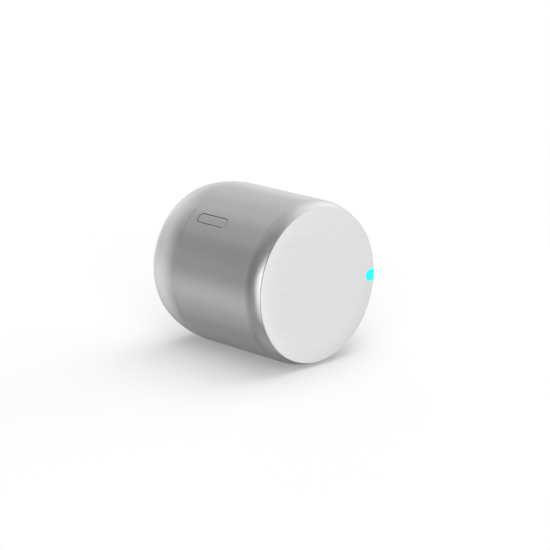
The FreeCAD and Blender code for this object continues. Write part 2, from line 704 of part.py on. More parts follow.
def make_rotor_plate():
    """The knob's chassis: a web, the bearing's housing and a boss for the drive axle."""
    body = new_body("rotor_plate")
    turn_solid(body, [
        ("bearing_outer", "bearing_base"), ("housing_radius", "bearing_base"),
        ("housing_radius", "web_base"), ("sleeve_inner - snug", "web_base"),
        ("sleeve_inner - snug", "web_top"), ("0", "web_top"), ("0", "web_base"),
        ("bearing_outer - 0.6", "web_base"), ("bearing_outer - 0.6", "bearing_top"),
        ("bearing_outer", "bearing_top"),
    ])
    raise_solid(body, "boss_base", "web_base - boss_base",
                circles=[("drive_x", "drive_y", "boss_radius")])
    drive = [("drive_x", "drive_y", "bush_radius")]
    sink(body, "boss_base - 1", "web_top - boss_base + 2", circles=drive)
    holes = [("0", "0", "coupling_screw")]
    holes += [("second_x", "second_y", "axle_radius"), ("first_x", "first_y", "axle_radius")]
    holes += [(x, y, "frame_screw + snug") for x, y in around("post_place", FRAME_ANGLES)]
    holes += [(x, y, "lug_screw + snug") for x, y in around("lug_place", LUG_ANGLES)]
    sink(body, "web_base - 0.5", "web_thickness + 1", circles=holes)
    sink(body, "bearing_base - 0.1", "2.1", circles=[
        (x, y, "retainer_screw + snug") for x, y in around("retainer_place", RETAINER_ANGLES)])
    node(body, "rotor_plate")


def make_spindle_coupling():
    """The coupling that turns the lock's spindle: a keyed bore, screwed to the rotor plate."""
    body = new_body("spindle_coupling")
    turn_solid(body, [
        ("spindle_radius", "coupling_base"), ("coupling_radius", "coupling_base"),
        ("coupling_radius", "web_base"), ("coupling_screw", "web_base"),
        ("coupling_screw", "coupling_seat"), ("coupling_head + snug", "coupling_seat"),
        ("coupling_head + snug", "bore_top"), ("spindle_radius", "bore_top"),
    ])
    sink(body, "coupling_base - 1", "bore_top - coupling_base + 1",
         block("-key_width / 2", "key_width / 2", "0", "spindle_radius + key_depth"))
    node(body, "spindle_coupling")


def make_outer_sleeve():
    """The sleeve with its lugs, drawn with the button's window on local +X and the charging
    window opposite it, and turned to its place."""
    body = new_body("outer_sleeve")
    turn_solid(body, [
        ("sleeve_inner", "sleeve_base"), ("body_radius", "sleeve_base"),
        ("body_radius", "sleeve_top - shoulder_depth", "shoulder_curve"),
        ("cap_radius", "sleeve_top"), ("sleeve_inner", "sleeve_top"),
    ])
    angles = ["%d - button_angle" % angle for angle in LUG_ANGLES]
    spots = around("lug_place", angles)
    raise_solid(body, "web_top", "lug_height", circles=[(x, y, "lug_radius") for x, y in spots])
    sink(body, "web_top - 1", "lug_height", circles=[(x, y, "lug_screw + snug") for x, y in spots])
    window = rounded("0", "button_height", "button_width", "button_length", "button_corner")
    sink(body, "sleeve_inner - 1", "sleeve_wall + 2", window, role="YZ_Plane")
    window = rounded("0", "contact_height", "contact_width", "contact_length", "contact_width * 0.45")
    sink(body, "-body_radius - 1", "sleeve_wall + 2", window, role="YZ_Plane")
    node(body, "outer_sleeve", turned_about("button_angle"))


CAP_OUTSIDE = [
    ("spigot_radius", "spigot_base"), ("spigot_radius", "rim_base"), ("cap_radius", "rim_base"),
    ("cap_radius", "rim_height", "crown_curve"), ("flat_radius", "body_length"),
    ("0", "body_length"),
]


def led_outline(play):
    """The light guide's outline: round inside and open past the disc's edge."""
    half = "(led_width / 2 + %s)" % play
    inner = "(led_inner - %s)" % play
    low, high = "led_offset - %s" % half, "led_offset + %s" % half
    return [("body_radius", low), ("body_radius", high),
            (inner + " + led_corner", high, "led_corner"), (inner, high + " - led_corner"),
            (inner, low + " + led_corner", "led_corner"), (inner + " + led_corner", low)]


def make_front_cap():
    """The front disc with its crowned rim and spigot, slotted for the light guide."""
    body = new_body("front_cap")
    turn_solid(body, CAP_OUTSIDE + [
        ("0", "cap_inner"), ("spigot_radius - spigot_wall", "cap_inner"),
        ("spigot_radius - spigot_wall", "spigot_base")])
    sink(body, "spigot_base - 1", "body_length - spigot_base + 2", led_outline("led_play"))
    node(body, "front_cap")


def make_light_guide():
    """The light guide: the front disc's outside, cut to the slot."""
    outside = new_body("light_guide_outside")
    turn_solid(outside, CAP_OUTSIDE + [("0", "spigot_base")])
    slot = new_body("light_guide_slot")
    raise_solid(slot, "spigot_base", "body_length", led_outline("0"))
    guide = doc.addObject("Part::Common", "light_guide_common")
    guide.Base = outside
    guide.Tool = slot
    node(guide, "light_guide")


def wall_plug(name, outline, inner, outer):
    """A plug along local +X whose outer end follows the sleeve's roundness."""
    plug = new_body(name + "_plug")
    raise_solid(plug, inner, "body_radius", outline, role="YZ_Plane")
    barrel = doc.addObject("Part::Cylinder", name + "_barrel")
    bind(barrel, "Radius", outer)
    bind(barrel, "Height", "body_length")
    common = doc.addObject("Part::Common", name + "_common")
    common.Base = plug
    common.Tool = barrel
    return common


def make_charge_contacts():
    """The charging insert on the knob's hidden side, with two contact pins."""
    placement = turned_about("button_angle + 180")
    outline = rounded("0", "contact_height", "contact_width - 2 * snug",
                      "contact_length - 2 * snug", "contact_width * 0.45 - snug")
    insert = wall_plug("charge_insert", outline, "sleeve_inner - contact_depth",
                       "body_radius - contact_sink")
    holes = new_body("charge_insert_holes")
    spots = [("0", "contact_height - contact_length / 4"), ("0", "contact_height + contact_length / 4")]
    raise_solid(holes, "sleeve_inner - 2", "5", circles=[(x, y, "contact_pin") for x, y in spots],
                role="YZ_Plane")
    cut = doc.addObject("Part::Cut", "charge_insert_cut")
    cut.Base = insert
    cut.Tool = holes
    node(cut, "charge_insert", placement)
    raised("charge_pins", "sleeve_inner - 0.9", "sleeve_wall + 0.7",
           circles=[(x, y, "contact_pin - snug / 2") for x, y in spots], placement=placement,
           role="YZ_Plane")


def make_boards():
    """The main board on its carrier, with its chips, radio can and status lamp."""
    carrier = new_body("board_carrier")
    turn_solid(carrier, [
        ("carrier_radius - ledge_width", "carrier_base"), ("carrier_radius", "carrier_base"),
        ("carrier_radius", "board_top"), ("board_radius", "board_top"),
        ("board_radius", "board_base"), ("carrier_radius - ledge_width", "board_base")])
    spots = around("post_place", FRAME_ANGLES)
    sink(carrier, "carrier_base - 1", "ledge_height + 2",
         circles=[(x, y, "frame_screw + snug") for x, y in spots])
    node(carrier, "board_carrier")
    raised("main_board", "board_base", "board_thickness",
           circles=[("0", "0", "board_radius - snug")] + [
               (x, y, "frame_screw + snug") for x, y in spots])
    chips = [("4", "5", "7", "7", "0.9"), ("4", "-7", "5", "5", "0.8"), ("-9", "10", "4", "3", "1.0"),
             ("12", "-8", "3", "4", "1.1"), ("-2", "13.5", "6", "2.5", "1.4")]
    body = new_body("board_chips")
    for x, y, width, depth, height in chips:
        raise_solid(body, "board_top", height, rounded(x, y, width, depth, "0.15"))
    node(body, "board_chips")
    raised("radio_can", "board_top", "1.7", rounded("-8", "-3", "10", "12", "0.4"))
    raised("status_lamp", "board_top", "0.8",
           block("led_inner + 0.6", "led_inner + 1.9", "led_offset - 0.6", "led_offset + 0.6"))


def make_frame():
    """The gear cover plate, the standoffs and the screws that hold the stack together."""
    spots = around("post_place", FRAME_ANGLES)
    holes = [("second_x", "second_y", "axle_radius"), ("first_x", "first_y", "axle_radius")]
    holes += [(x, y, "frame_screw + snug") for x, y in spots]
    holes += [("motor_x", "motor_y", "gear_module * %d / 2 + gear_module + 0.2" % PINION_TEETH)]
    holes += [("motor_x + %s" % x, "motor_y + %s" % y, "motor_screw + snug")
              for x, y in around("motor_screw_place", MOTOR_SCREW_ANGLES)]
    plate = new_body("gear_cover_plate")
    raise_solid(plate, "cover_base", "cover_thickness", circles=[("0", "0", "cover_radius")])
    sink(plate, "cover_base - 1", "cover_thickness + 2", circles=holes)
    node(plate, "gear_cover_plate")
    for label, base, height in (("lower_standoffs", "web_top", "cover_base - web_top"),
                                ("upper_standoffs", "cover_top", "carrier_base - cover_top")):
        post = new_body(label)
        raise_solid(post, base, height, circles=[("0", "0", "post_radius"),
                                                 ("0", "0", "frame_screw + snug")])
        group(label, post, spots)
    screws("frame_screws", spots, "web_base - web_head_height", "frame_head", "web_head_height",
           "frame_screw", "web_thickness + 4", up=True)
    screws("board_screws", spots, "board_top", "frame_head", "0.8", "frame_screw",
           "board_thickness + ledge_height + 3.5", up=False)
    screws("sleeve_screws", around("lug_place", LUG_ANGLES), "web_base - web_head_height",
           "lug_head", "web_head_height", "lug_screw", "web_thickness + lug_height - 1.2", up=True)


def make_motor():
    """The motor's still pieces: can, magnets, bush, end cap and the screws that hold it."""
    place = [("motor_x", "motor_y")]
    can = new_body("motor_can")
    turn_solid(can, [
        ("motor_bush_radius", "cover_top"), ("motor_radius", "cover_top"),
        ("motor_radius", "can_top"), ("magnet_outer", "can_top"),
        ("magnet_outer", "cover_top + motor_wall"), ("motor_bush_radius", "cover_top + motor_wall")])
    screw_spots = around("motor_screw_place", MOTOR_SCREW_ANGLES)
    sink(can, "cover_top - 1", "motor_wall + 2", circles=[(x, y, "motor_screw") for x, y in screw_spots])
    group("motor_can", can, place)
    magnets = new_body("motor_magnets")
    turn_solid(magnets, ring("magnet_inner", "magnet_outer", "cover_top + 2.2", "can_top - 1.2"))
    sink(magnets, "cover_top", "motor_top", block("-magnet_inner / 2", "magnet_inner / 2",
                                                  "-motor_radius", "motor_radius"))
    group("motor_magnets", magnets, place)
    bush = new_body("motor_bush")
    turn_solid(bush, ring("shaft_radius + running", "motor_bush_radius", "cover_top",
                          "cover_top + 2 * motor_wall"))
    group("motor_bush", bush, place)
    cap = new_body("motor_end_cap")
    turn_solid(cap, [
        ("shaft_radius + running", "can_top - 1"), ("magnet_outer - snug", "can_top - 1"),
        ("magnet_outer - snug", "can_top"), ("motor_radius", "can_top"),
        ("motor_radius", "motor_top"), ("shaft_radius + running", "motor_top")])
    group("motor_end_cap", cap, place)
    screws("motor_screws", [("motor_x + %s" % x, "motor_y + %s" % y) for x, y in screw_spots],
           "cover_base - 0.35", "1.0", "0.35", "motor_screw", "cover_thickness + motor_wall + 0.6",
           up=True)


def make_battery():
    """Two battery cells in their tray, with a foam pad on top."""
    tray = new_body("battery_tray")
    raise_solid(tray, "cover_top", "battery_top - cover_top - 3", rounded(
        "battery_middle", "0", "battery_width", "battery_height", "1.2"))
    sink(tray, "battery_base", "battery_top", rounded(
        "battery_middle", "0", "battery_width - 2 * tray_wall", "battery_height - 2 * tray_wall", "0.6"))
    node(tray, "battery_tray")
    cell_width = "((battery_width - 2 * tray_wall) / 2 - 0.1)"
    cells = new_body("battery_cells")
    for side in ("- %s / 2 - 0.05" % cell_width, "+ %s / 2 + 0.05" % cell_width):
        raise_solid(cells, "battery_base", "battery_top - battery_base", rounded(
            "battery_middle " + side, "0", cell_width, "battery_height - 2 * tray_wall - 0.1", "0.9"))
    node(cells, "battery_cells")
    raised("battery_pad", "battery_top", "battery_pad", rounded(
        "battery_middle", "0", "battery_width - 3", "battery_height - 3", "1"))


def make_switch():
    """The tact switch under the button, on its board and bracket."""
    placement = turned_about("button_angle")
    bracket_base = "switch_board_base - bracket_thickness"
    raised("switch_bracket", "web_top", "cover_base - web_top",
           block(bracket_base, "switch_board_base", "-switch_width", "switch_width"),
           placement=placement)
    raised("switch_board", "web_top + layer_gap", "cover_base - web_top - 2 * layer_gap",
           block("switch_board_base", "switch_base", "-0.7 * switch_width", "0.7 * switch_width"),
           placement=placement)
    body = new_body("button_switch")
    raise_solid(body, "switch_base", "switch_height",
                rounded("0", "button_height", "switch_width", "switch_width", "0.4"), role="YZ_Plane")
    sink(body, "plunger_base - button_travel - 0.2", "switch_height",
         circles=[("0", "button_height", "stem_radius - running")], role="YZ_Plane")
    node(body, "button_switch", placement)


def make_axles():
    """The two fixed axle pins and the bushes of the drive axle."""
    pin_body = new_body("axle_pins")
    raise_solid(pin_body, "web_base", "cover_top - web_base", circles=[("0", "0", "axle_radius")])
    group("axle_pins", pin_body, [("second_x", "second_y"), ("first_x", "first_y")])
    bushes = new_body("drive_bushes")
    for base in ("boss_base", "web_top - bush_height"):
        raise_solid(bushes, base, "bush_height",
                    circles=[("0", "0", "bush_radius"), ("0", "0", "drive_radius + running")])
    group("drive_bushes", bushes, [("drive_x", "drive_y")])


def make_knob():
    make_outer_sleeve()
    make_front_cap()
    make_light_guide()
    turned("cap_seal", ring("spigot_radius - 0.6", "spigot_radius", "spigot_base - 0.55",
                            "spigot_base"))
    make_charge_contacts()
    make_rotor_plate()
    race("bearing_outer_race", "bearing_outer - race_wall", "bearing_outer")
    retainer = new_body("bearing_retainer")
    turn_solid(retainer, ring("bearing_outer - 0.7", "housing_radius", "retainer_base", "bearing_base"))
    sink(retainer, "retainer_base - 1", "retainer_height + 2", circles=[
        (x, y, "retainer_screw + snug") for x, y in around("retainer_place", RETAINER_ANGLES)])
    node(retainer, "bearing_retainer")
    screws("retainer_screws", around("retainer_place", RETAINER_ANGLES), "retainer_base - 0.3",
           "retainer_head", "0.3", "retainer_screw", "retainer_height + 1.5", up=True)
    make_spindle_coupling()
    screws("coupling_screw", [("0", "0")], "bore_top", "coupling_head", "screw_head",
           "coupling_screw", "web_top - coupling_seat - 0.2", up=True)
    make_frame()
    make_axles()
    make_motor()
    make_battery()
    make_boards()
    make_switch()


# Button

def make_button():
    """The button's cap with its hidden flange and stem, and the switch's plunger."""
    placement = turned_about("button_angle")
    width = "button_width - 2 * button_gap"
    outline = rounded("0", "button_height", width, "button_length - 2 * button_gap",
                      "button_corner - button_gap")
    cap = wall_plug("button_cap", outline, "button_inner", "button_outer")
    rest = new_body("button_cap_rest")
    raise_solid(rest, "flange_base", "flange_thickness",
                rounded("0", "button_height", "button_width + 1", "button_flange", "0.8"),
                role="YZ_Plane")
    raise_solid(rest, "flange_base", "button_inner + 0.2 - flange_base",
                rounded("0", "button_height", width, "button_flange", "0.8"), role="YZ_Plane")
    raise_solid(rest, "stem_base", "stem_length",
                circles=[("0", "button_height", "stem_radius")], role="YZ_Plane")
    whole = doc.addObject("Part::Fuse", "button_cap_whole")
    whole.Base = cap
    whole.Tool = rest
    node(whole, "button_cap", placement)
    raised("switch_plunger", "plunger_base", "stem_base - plunger_base",
           circles=[("0", "button_height", "stem_radius - 3 * running")],
           placement=placement, role="YZ_Plane")


# Gears: each turns on its own axle

def make_gears():
    """The motor's armature and pinion, the two wheels and the drive axle, all in mesh."""
    module = value("gear_module")
    height = value("gear_height")
    first, second, drive, motor = [
        (value(name + "_x"), value(name + "_y")) for name in ("first", "second", "drive", "motor")]

    def toward(start, end):
        return math.degrees(math.atan2(end[1] - start[1], end[0] - start[0]))

    def gap_toward(start, end, teeth):
        return toward(start, end) + 180 / teeth

    bore = value("axle_radius + running")
    shaft = value("shaft_radius")
    third_base, second_base, first_base = [
        value(name) for name in ("third_base", "second_base", "first_base")]
    coded("motor_pinion", gear_solid(PINION_TEETH, module, motor, first_base, height, shaft,
                                     toward(motor, first)))
    for label, place, base, driver, driven in (
            ("first_wheel", first, first_base, motor, second),
            ("second_wheel", second, second_base, first, drive)):
        below = base - height - value("layer_gap")
        wheel = gear_solid(WHEEL_TEETH, module, place, base, height, bore,
                           gap_toward(place, driver, WHEEL_TEETH))
        small = gear_solid(PINION_TEETH, module, place, below, base - below, bore,
                           toward(place, driven))
        coded(label, wheel.fuse(small).removeSplitter())
    axle = value("drive_radius")
    coded("drive_gear", gear_solid(DRIVE_GEAR_TEETH, module, drive, third_base, height, axle,
                                   gap_toward(drive, second, DRIVE_GEAR_TEETH)))
    pinion_base = value("pinion_base")
    coded("drive_pinion", gear_solid(DRIVE_PINION_TEETH, value("ring_module"), drive, pinion_base,
                                     value("pinion_top") - pinion_base, axle, -90))
    shaft_body = new_body("drive_axle")
    raise_solid(shaft_body, "pinion_base", "third_top - pinion_base",
                circles=[("0", "0", "drive_radius")])
    group("drive_axle", shaft_body, [("drive_x", "drive_y")])


def make_armature():
    """The motor's turning pieces: a three-pole core, its commutator and its shaft."""
    place = [("motor_x", "motor_y")]
    core = new_body("motor_armature")
    base, top = "cover_top + 2.6", "can_top - 3.4"
    turn_solid(core, ring("shaft_radius", "armature_radius", base, top))
    slot = sink(core, base + " - 1", "motor_top", block("2", "armature_radius + 1", "-0.7", "0.7"))
    repeat_round(core, slot, 3)
    group("motor_armature", core, place)
    commutator = new_body("motor_commutator")
    turn_solid(commutator, ring("shaft_radius", "commutator_radius", "can_top - 3.2", "can_top - 1.3"))
    group("motor_commutator", commutator, place)
    shaft = new_body("motor_shaft")
    raise_solid(shaft, "first_base", "motor_top - 0.2 - first_base",
                circles=[("0", "0", "shaft_radius")])
    group("motor_shaft", shaft, place)


def main():
    make_base()
    make_bearing_balls()
    make_bearing_cage()
    make_knob()
    make_button()
    make_gears()
    make_armature()
    doc.recompute()
    for item in doc.Objects:
        if {"Invalid", "Error"} & set(item.State):
            raise RuntimeError("%s failed: %s" % (item.Label, item.State))
    os.makedirs("parts", exist_ok=True)
    for item in nodes:
        if item.Shape.isNull() or not item.Shape.isValid() or not item.Shape.Solids:
            raise RuntimeError("%s has no valid solid" % item.Label)
        item.Shape.exportStep("parts/%s.step" % item.Label)
        print("%-22s %2d solids  %9.2f mm3" % (item.Label, len(item.Shape.Solids), item.Shape.Volume))


main()
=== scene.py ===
"""Smart lock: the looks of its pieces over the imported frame, one tool for each piece."""
import json
import math

import bmesh
import bpy
from mathutils import Matrix, Vector


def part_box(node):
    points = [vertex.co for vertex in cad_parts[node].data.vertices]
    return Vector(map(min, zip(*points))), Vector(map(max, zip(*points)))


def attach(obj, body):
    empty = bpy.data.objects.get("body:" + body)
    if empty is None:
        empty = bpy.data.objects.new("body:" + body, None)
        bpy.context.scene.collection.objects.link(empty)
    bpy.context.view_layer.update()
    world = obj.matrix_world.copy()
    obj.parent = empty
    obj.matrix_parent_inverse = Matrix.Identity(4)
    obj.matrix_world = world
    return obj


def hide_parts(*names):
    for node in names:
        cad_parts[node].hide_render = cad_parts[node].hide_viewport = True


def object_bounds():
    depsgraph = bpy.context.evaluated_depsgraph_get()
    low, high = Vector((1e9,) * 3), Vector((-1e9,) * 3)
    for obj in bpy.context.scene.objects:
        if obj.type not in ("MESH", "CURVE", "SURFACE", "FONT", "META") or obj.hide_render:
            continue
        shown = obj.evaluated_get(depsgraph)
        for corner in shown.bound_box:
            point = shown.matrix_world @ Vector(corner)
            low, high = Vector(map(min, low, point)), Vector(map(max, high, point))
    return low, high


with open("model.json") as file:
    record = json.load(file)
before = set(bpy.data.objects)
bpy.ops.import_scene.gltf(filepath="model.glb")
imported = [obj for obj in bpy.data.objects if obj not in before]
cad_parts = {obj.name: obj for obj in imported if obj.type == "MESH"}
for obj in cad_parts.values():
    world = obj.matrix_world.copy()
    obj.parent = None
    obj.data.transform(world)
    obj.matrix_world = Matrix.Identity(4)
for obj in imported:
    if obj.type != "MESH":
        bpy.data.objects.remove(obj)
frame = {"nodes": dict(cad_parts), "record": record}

bl_info = {
    "name": "Smart Lock",
    "version": (1, 0, 0),
    "blender": (4, 5, 0),
    "location": "View3D > Sidebar > Smart Lock",
    "description": "Models and finishes the visible pieces of a smart lock on its frame",
    "category": "Object",
}

MM = 0.001
FRAME_LOW, FRAME_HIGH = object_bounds()
SLEEVE_LOW, SLEEVE_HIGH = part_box("outer_sleeve")
DISC_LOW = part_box("front_cap")[0]
FORWARD, DOWN = (0, -1, 0), (0, 0, -1)
LUG_ANGLES = (60, 180, 300)
HUB_SCREW_ANGLES = (90, 210, 330)
RING_SCREW_ANGLES = (45, 135, 225, 315)
SEAM_CLOSED = 0.04  # mm by which the sleeve narrows its solid's seam
EDGE_FORWARD = 0.55  # mm by which its front edge lies ahead of its solid's
PLAY, LIGHT_PLAY = 0.03 * MM, 0.02 * MM  # gap between fixed pieces, and round the light
OVERCUT, LIGHT_OVERCUT = MM, 4 * MM  # how far cutting tools go past a surface
WELD = 1e-7  # points closer than this are one

# Faces round a turned piece or rod, and across a curve
ROUND_STEPS, HUB_STEPS, COUPLING_STEPS, ROD_STEPS = 256, 192, 128, 48
DOME_STEPS, SHOULDER_STEPS, CROWN_STEPS = 30, 24, 20
LIGHT_STEPS, PLUG_STEPS, PIN_STEPS, EDGE_STEPS = 12, 10, 6, 4
BEND_STRIPS = 11  # strips across a bent plug
SHARP_ANGLE = math.radians(38)  # edges bent further than this stay sharp
LARGE_FACES_LEAD = 100  # weight of large faces in the evened normals

METAL, NO_METAL = 1, 0
NOISE_LOW, NOISE_HIGH = 0.3, 0.7  # nearly all of the noise lies between these
LEAST_ROUGHNESS = 0.02
BRUSH_STRETCH = (0.03, 1, 1)  # draws noise out along X
QUARTER_TURN = (math.pi / 2, 0, 0)  # lays the pattern's Z along the lock's axis
WAVES_PER_UNIT = 20  # a pitch is one wave at this scale
WHITE = (1, 1, 1, 1)

FLOOR_RADIUS, FLOOR_STEPS = 3.0, 64
SHADOW_REACH, WHITE_REACH = 0.07, 0.20  # the floor fades to white between these
OPEN_FLOOR_LIGHT = 1.091  # light on the floor away from the lock, 1 being white
NEAREST_SEEN = 0.01


# Sizes and colours

def labelled(group):
    """Label each property of a group with its own name."""
    for name, made in group.__annotations__.items():
        made.keywords["name"] = name.replace("_", " ").capitalize()
    return group


def length(description, millimetres):
    return bpy.props.FloatProperty(
        description=description, default=millimetres * MM, unit="LENGTH", precision=5)


def turn_angle(description, degrees):
    return bpy.props.FloatProperty(
        description=description, default=math.radians(degrees), subtype="ANGLE")


def share(description, default):
    return bpy.props.FloatProperty(
        description=description, default=default, min=0, max=1, subtype="FACTOR")


def colour(description, default):
    return bpy.props.FloatVectorProperty(
        description=description, default=default, size=3, min=0, max=1, subtype="COLOR")


@labelled
class LockSizes(bpy.types.PropertyGroup):
    body_radius: length("Outer radius of the sleeve", SLEEVE_HIGH.x / MM)
    sleeve_base: length("Sleeve's rear edge above the door", -SLEEVE_HIGH.y / MM - SEAM_CLOSED)
    sleeve_top: length("Sleeve's front edge above the door", -SLEEVE_LOW.y / MM + EDGE_FORWARD)
    sleeve_wall: length("Wall of the sleeve", 1.6)
    shoulder_depth: length("Length of the rounded shoulder", 4.7)
    shoulder_inset: length("Sleeve's draw-in at its front edge", 1.22)
    edge_break: length("Rounding of the turned edges", 0.12)
    seam_break: length("Rounding at the seam and the disc's rim", 0.05)
    lug_radius: length("Radius of the screw lugs inside the sleeve", 2.2)
    lug_place: length("Axis of those lugs from the lock's axis", 18.9)
    lug_base: length("Rear end of those lugs above the door", 18.49)
    lug_height: length("Length of those lugs", 4.0)
    lug_end: length("Solid front end of those lugs", 1.0)
    lug_bore: length("Radius of the screw holes in those lugs", 0.83)

    body_length: length("Door to the flat of the front disc", -DISC_LOW.y / MM)
    disc_radius: length("Radius of the front disc", 21.28)
    crown_width: length("Width of the disc's crowned rim", 4.8)
    crown_drop: length("How far the rim lies behind the flat", 0.42)
    rim_depth: length("Straight side of the disc's rim", 0.18)
    disc_plate: length("Thickness of the disc", 1.6)
    spigot_depth: length("Length of the disc's spigot", 1.5)
    spigot_wall: length("Wall of the disc's spigot", 1.25)

    light_inner: length("Light guide's inner end from the axis", 17.75)
    light_width: length("Width of the light guide", 3.12)
    light_offset: length("Light guide's middle above the level line", -0.72)
    light_corner: length("Radius of the light guide's inner corners", 1.4)

    button_angle: turn_angle("Button's way round from +X to the top", 134.2)
    button_height: length("Button's middle above the door", 22.7)
    button_length: length("Button's window along the lock", 11.2)
    button_width: length("Button's window round the sleeve", 3.0)
    button_corner: length("Corner radius of the button's window", 1.35)
    button_gap: length("Gap round the button", 0.19)
    button_sink: length("Button's face below the sleeve", 0.05)
    button_depth: length("Depth of the button's cap", 1.1)
    flange_length: length("Button's flange along the lock", 7.62)
    flange_width: length("Button's flange round the sleeve", 4.0)
    flange_inner: length("That flange's underside from the axis", 20.0)
    flange_thickness: length("Thickness of that flange", 0.5)
    stem_radius: length("Radius of the stem that works the switch", 0.9)
    stem_length: length("Length of that stem", 0.35)

    contact_height: length("Charging insert's middle above the door", 34.0)
    contact_length: length("Charging insert along the lock", 9.0)
    contact_width: length("Charging insert round the sleeve", 3.6)
    contact_corner: length("Corner radius of the charging insert", 1.62)
    contact_pin: length("Radius of the two charging pins", 0.885)


@labelled
class MountSizes(bpy.types.PropertyGroup):
    seam_height: length("Collar's front edge above the door", 14.3)
    rear_radius: length("Radius of the collar's flat rear face", 13.85)
    dome_corner: length("Radius of the dome's rear corner", 7.37)
    collar_bore: length("Collar's bore for the adapter hub", 9.03)
    mouth_radius: length("Collar's open mouth towards the sleeve", 21.3)
    slide_seat: length("Inner radius of the slide ring's seat", 20.0)
    slide_depth: length("Depth of the slide ring's seat", 1.0)
    gear_seat: length("Radius of the ring gear's seat", 19.436)
    gear_seat_top: length("Top of that seat above the door", 9.8)
    collar_floor: length("Collar's inner floor above the door", 5.2)
    key_hole_radius: length("Radius of the clamp screw's key hole", 2.0)
    key_hole_height: length("That hole's axis above the door", 2.9)
    screw_hole: length("Radius of the small screw holes", 0.83)
    screw_reach: length("Depth of those holes in the collar", 3.4)
    hub_screw_place: length("Hub's screws from the lock's axis", 10.6)
    ring_screw_place: length("Ring gear's screws from the lock's axis", 14.6)

    pad_inner: length("Inner radius of the rubber pad", 9.9)
    pad_outer: length("Outer radius of the rubber pad", 12.9)
    pad_thickness: length("Thickness of the rubber pad", 0.8)
    pad_groove: length("Width and depth of the pad's grooves", 0.25)

    socket_radius: length("Hub's socket for the cylinder's neck", 7.0)
    socket_depth: length("Depth of that socket", 6.5)
    neck_radius: length("Outer radius of the hub's neck", 9.0)
    hub_flange_radius: length("Radius of the hub's flange", 12.5)
    flange_top: length("Top of that flange above the door", 6.6)
    head_radius: length("Countersinks of the hub's screws", 1.33)
    head_depth: length("Depth of those countersinks", 0.8)
    shoulder_radius: length("Shoulder under the bearing", 8.2)
    bearing_base: length("Rear face of the bearing above the door", 10.9)
    nose_radius: length("Hub's nose in the bearing", 7.5)
    nose_bore: length("Bore of the nose", 5.8)
    nose_top: length("Top of the nose above the door", 16.49)
    groove_base: length("Circlip's groove above the door", 14.93)
    groove_top: length("Top of that groove above the door", 15.69)
    groove_depth: length("Depth of that groove", 0.45)

    coupling_radius: length("Outer radius of the spindle coupling", 5.6)
    coupling_base: length("Coupling's rear end above the door", 7.3)
    coupling_top: length("Coupling's front end above the door", 17.09)
    spindle_radius: length("Coupling's bore for the spindle", 3.0)
    spindle_top: length("Inner end of that bore above the door", 13.69)
    screw_seat: length("Underside of the coupling screw's web", 15.29)
    screw_head_seat: length("Radius of the coupling screw's seat", 2.63)
    coupling_screw: length("Hole for the coupling's screw", 1.5)
    key_width: length("Width of the key slot in the bore", 2.0)
    key_depth: length("Depth of that slot", 1.0)


@labelled
class LockFinish(bpy.types.PropertyGroup):
    sleeve_tone: colour("Satin aluminium of the sleeve and collar", (0.87, 0.87, 0.875))
    disc_tone: colour("Brushed aluminium of the front disc", (0.89, 0.89, 0.895))
    light_tone: colour("Colour of the lit status light", (0.01, 1.0, 1.0))
    sleeve_roughness: share("Roughness of the satin aluminium", 0.25)
    disc_roughness: share("Roughness of the front disc", 0.32)
    grain_size: length("Size of the blasted grain", 0.12)


@labelled
class StudioSettings(bpy.types.PropertyGroup):
    camera_place: bpy.props.FloatVectorProperty(
        description="Where the camera stands",
        default=(-0.3999, -0.4473, 0.15415), subtype="TRANSLATION", unit="LENGTH")
    camera_aim: bpy.props.FloatVectorProperty(
        description="Direction in which the camera looks",
        default=(0.6688, 0.6970, -0.2585), subtype="DIRECTION")
    lens: bpy.props.FloatProperty(
        description="Focal length in mm on a 36 mm sensor", default=144.0)
    ambient: bpy.props.FloatProperty(
        description="Even light on matt surfaces", default=0.04)
    floor_tone: share("Reflectance of the floor", 0.63)


# Modelling

class Section:
    """A turned piece's outline, drawn as radius and height above the door."""

    def __init__(self, radius, height):
        self.mesh = bmesh.new()
        self.first = self.mesh.verts.new((radius, -height, 0))
        self.tip = self.first
        self.soft = []

    def lines(self, *corners):
        """Draw on from corner to corner; a third number says how far that corner is rounded."""
        for radius, height, *soft in corners:
            self.tip = bmesh.ops.extrude_vert_indiv(self.mesh, verts=[self.tip])["verts"][0]
            self.tip.co = (radius, -height, 0)
            self.soft += [(self.tip, offset) for offset in soft]

    def arc(self, radius, height, centre_radius, centre_height, steps, soft=0):
        """Draw on along an arc about a centre, and round the corner at its end."""
        centre = Vector((centre_radius, -centre_height, 0))
        end = Vector((radius, -height, 0))
        start_arm, end_arm = self.tip.co - centre, end - centre
        angle = math.atan2(end_arm.y, end_arm.x) - math.atan2(start_arm.y, start_arm.x)
        made = bmesh.ops.spin(self.mesh, geom=[self.tip], cent=centre, axis=(0, 0, 1),
                              angle=angle, steps=steps)
        self.tip = next(item for item in made["geom_last"] if isinstance(item, bmesh.types.BMVert))
        self.tip.co = end
        if soft:
            self.soft.append((self.tip, soft))

    def turned(self, steps=ROUND_STEPS):
        """Close the outline off the axis, round its soft corners and turn it about the axis."""
        if self.tip.co.x:
            self.mesh.edges.new((self.tip, self.first))
        for corner, offset in self.soft:
            round_off(self.mesh, [corner], offset, EDGE_STEPS)
        outline = self.mesh.verts[:] + self.mesh.edges[:]
        bmesh.ops.spin(self.mesh, geom=outline, cent=(0, 0, 0), axis=(0, 1, 0),
                       angle=math.tau, steps=steps, use_merge=True)
        return self.mesh


def round_off(mesh, parts, offset, steps, affect="VERTICES"):
    """Round corners or edges of a mesh."""
    bmesh.ops.bevel(mesh, geom=parts, offset=offset, segments=steps, profile=0.5,
                    affect=affect, material=-1)


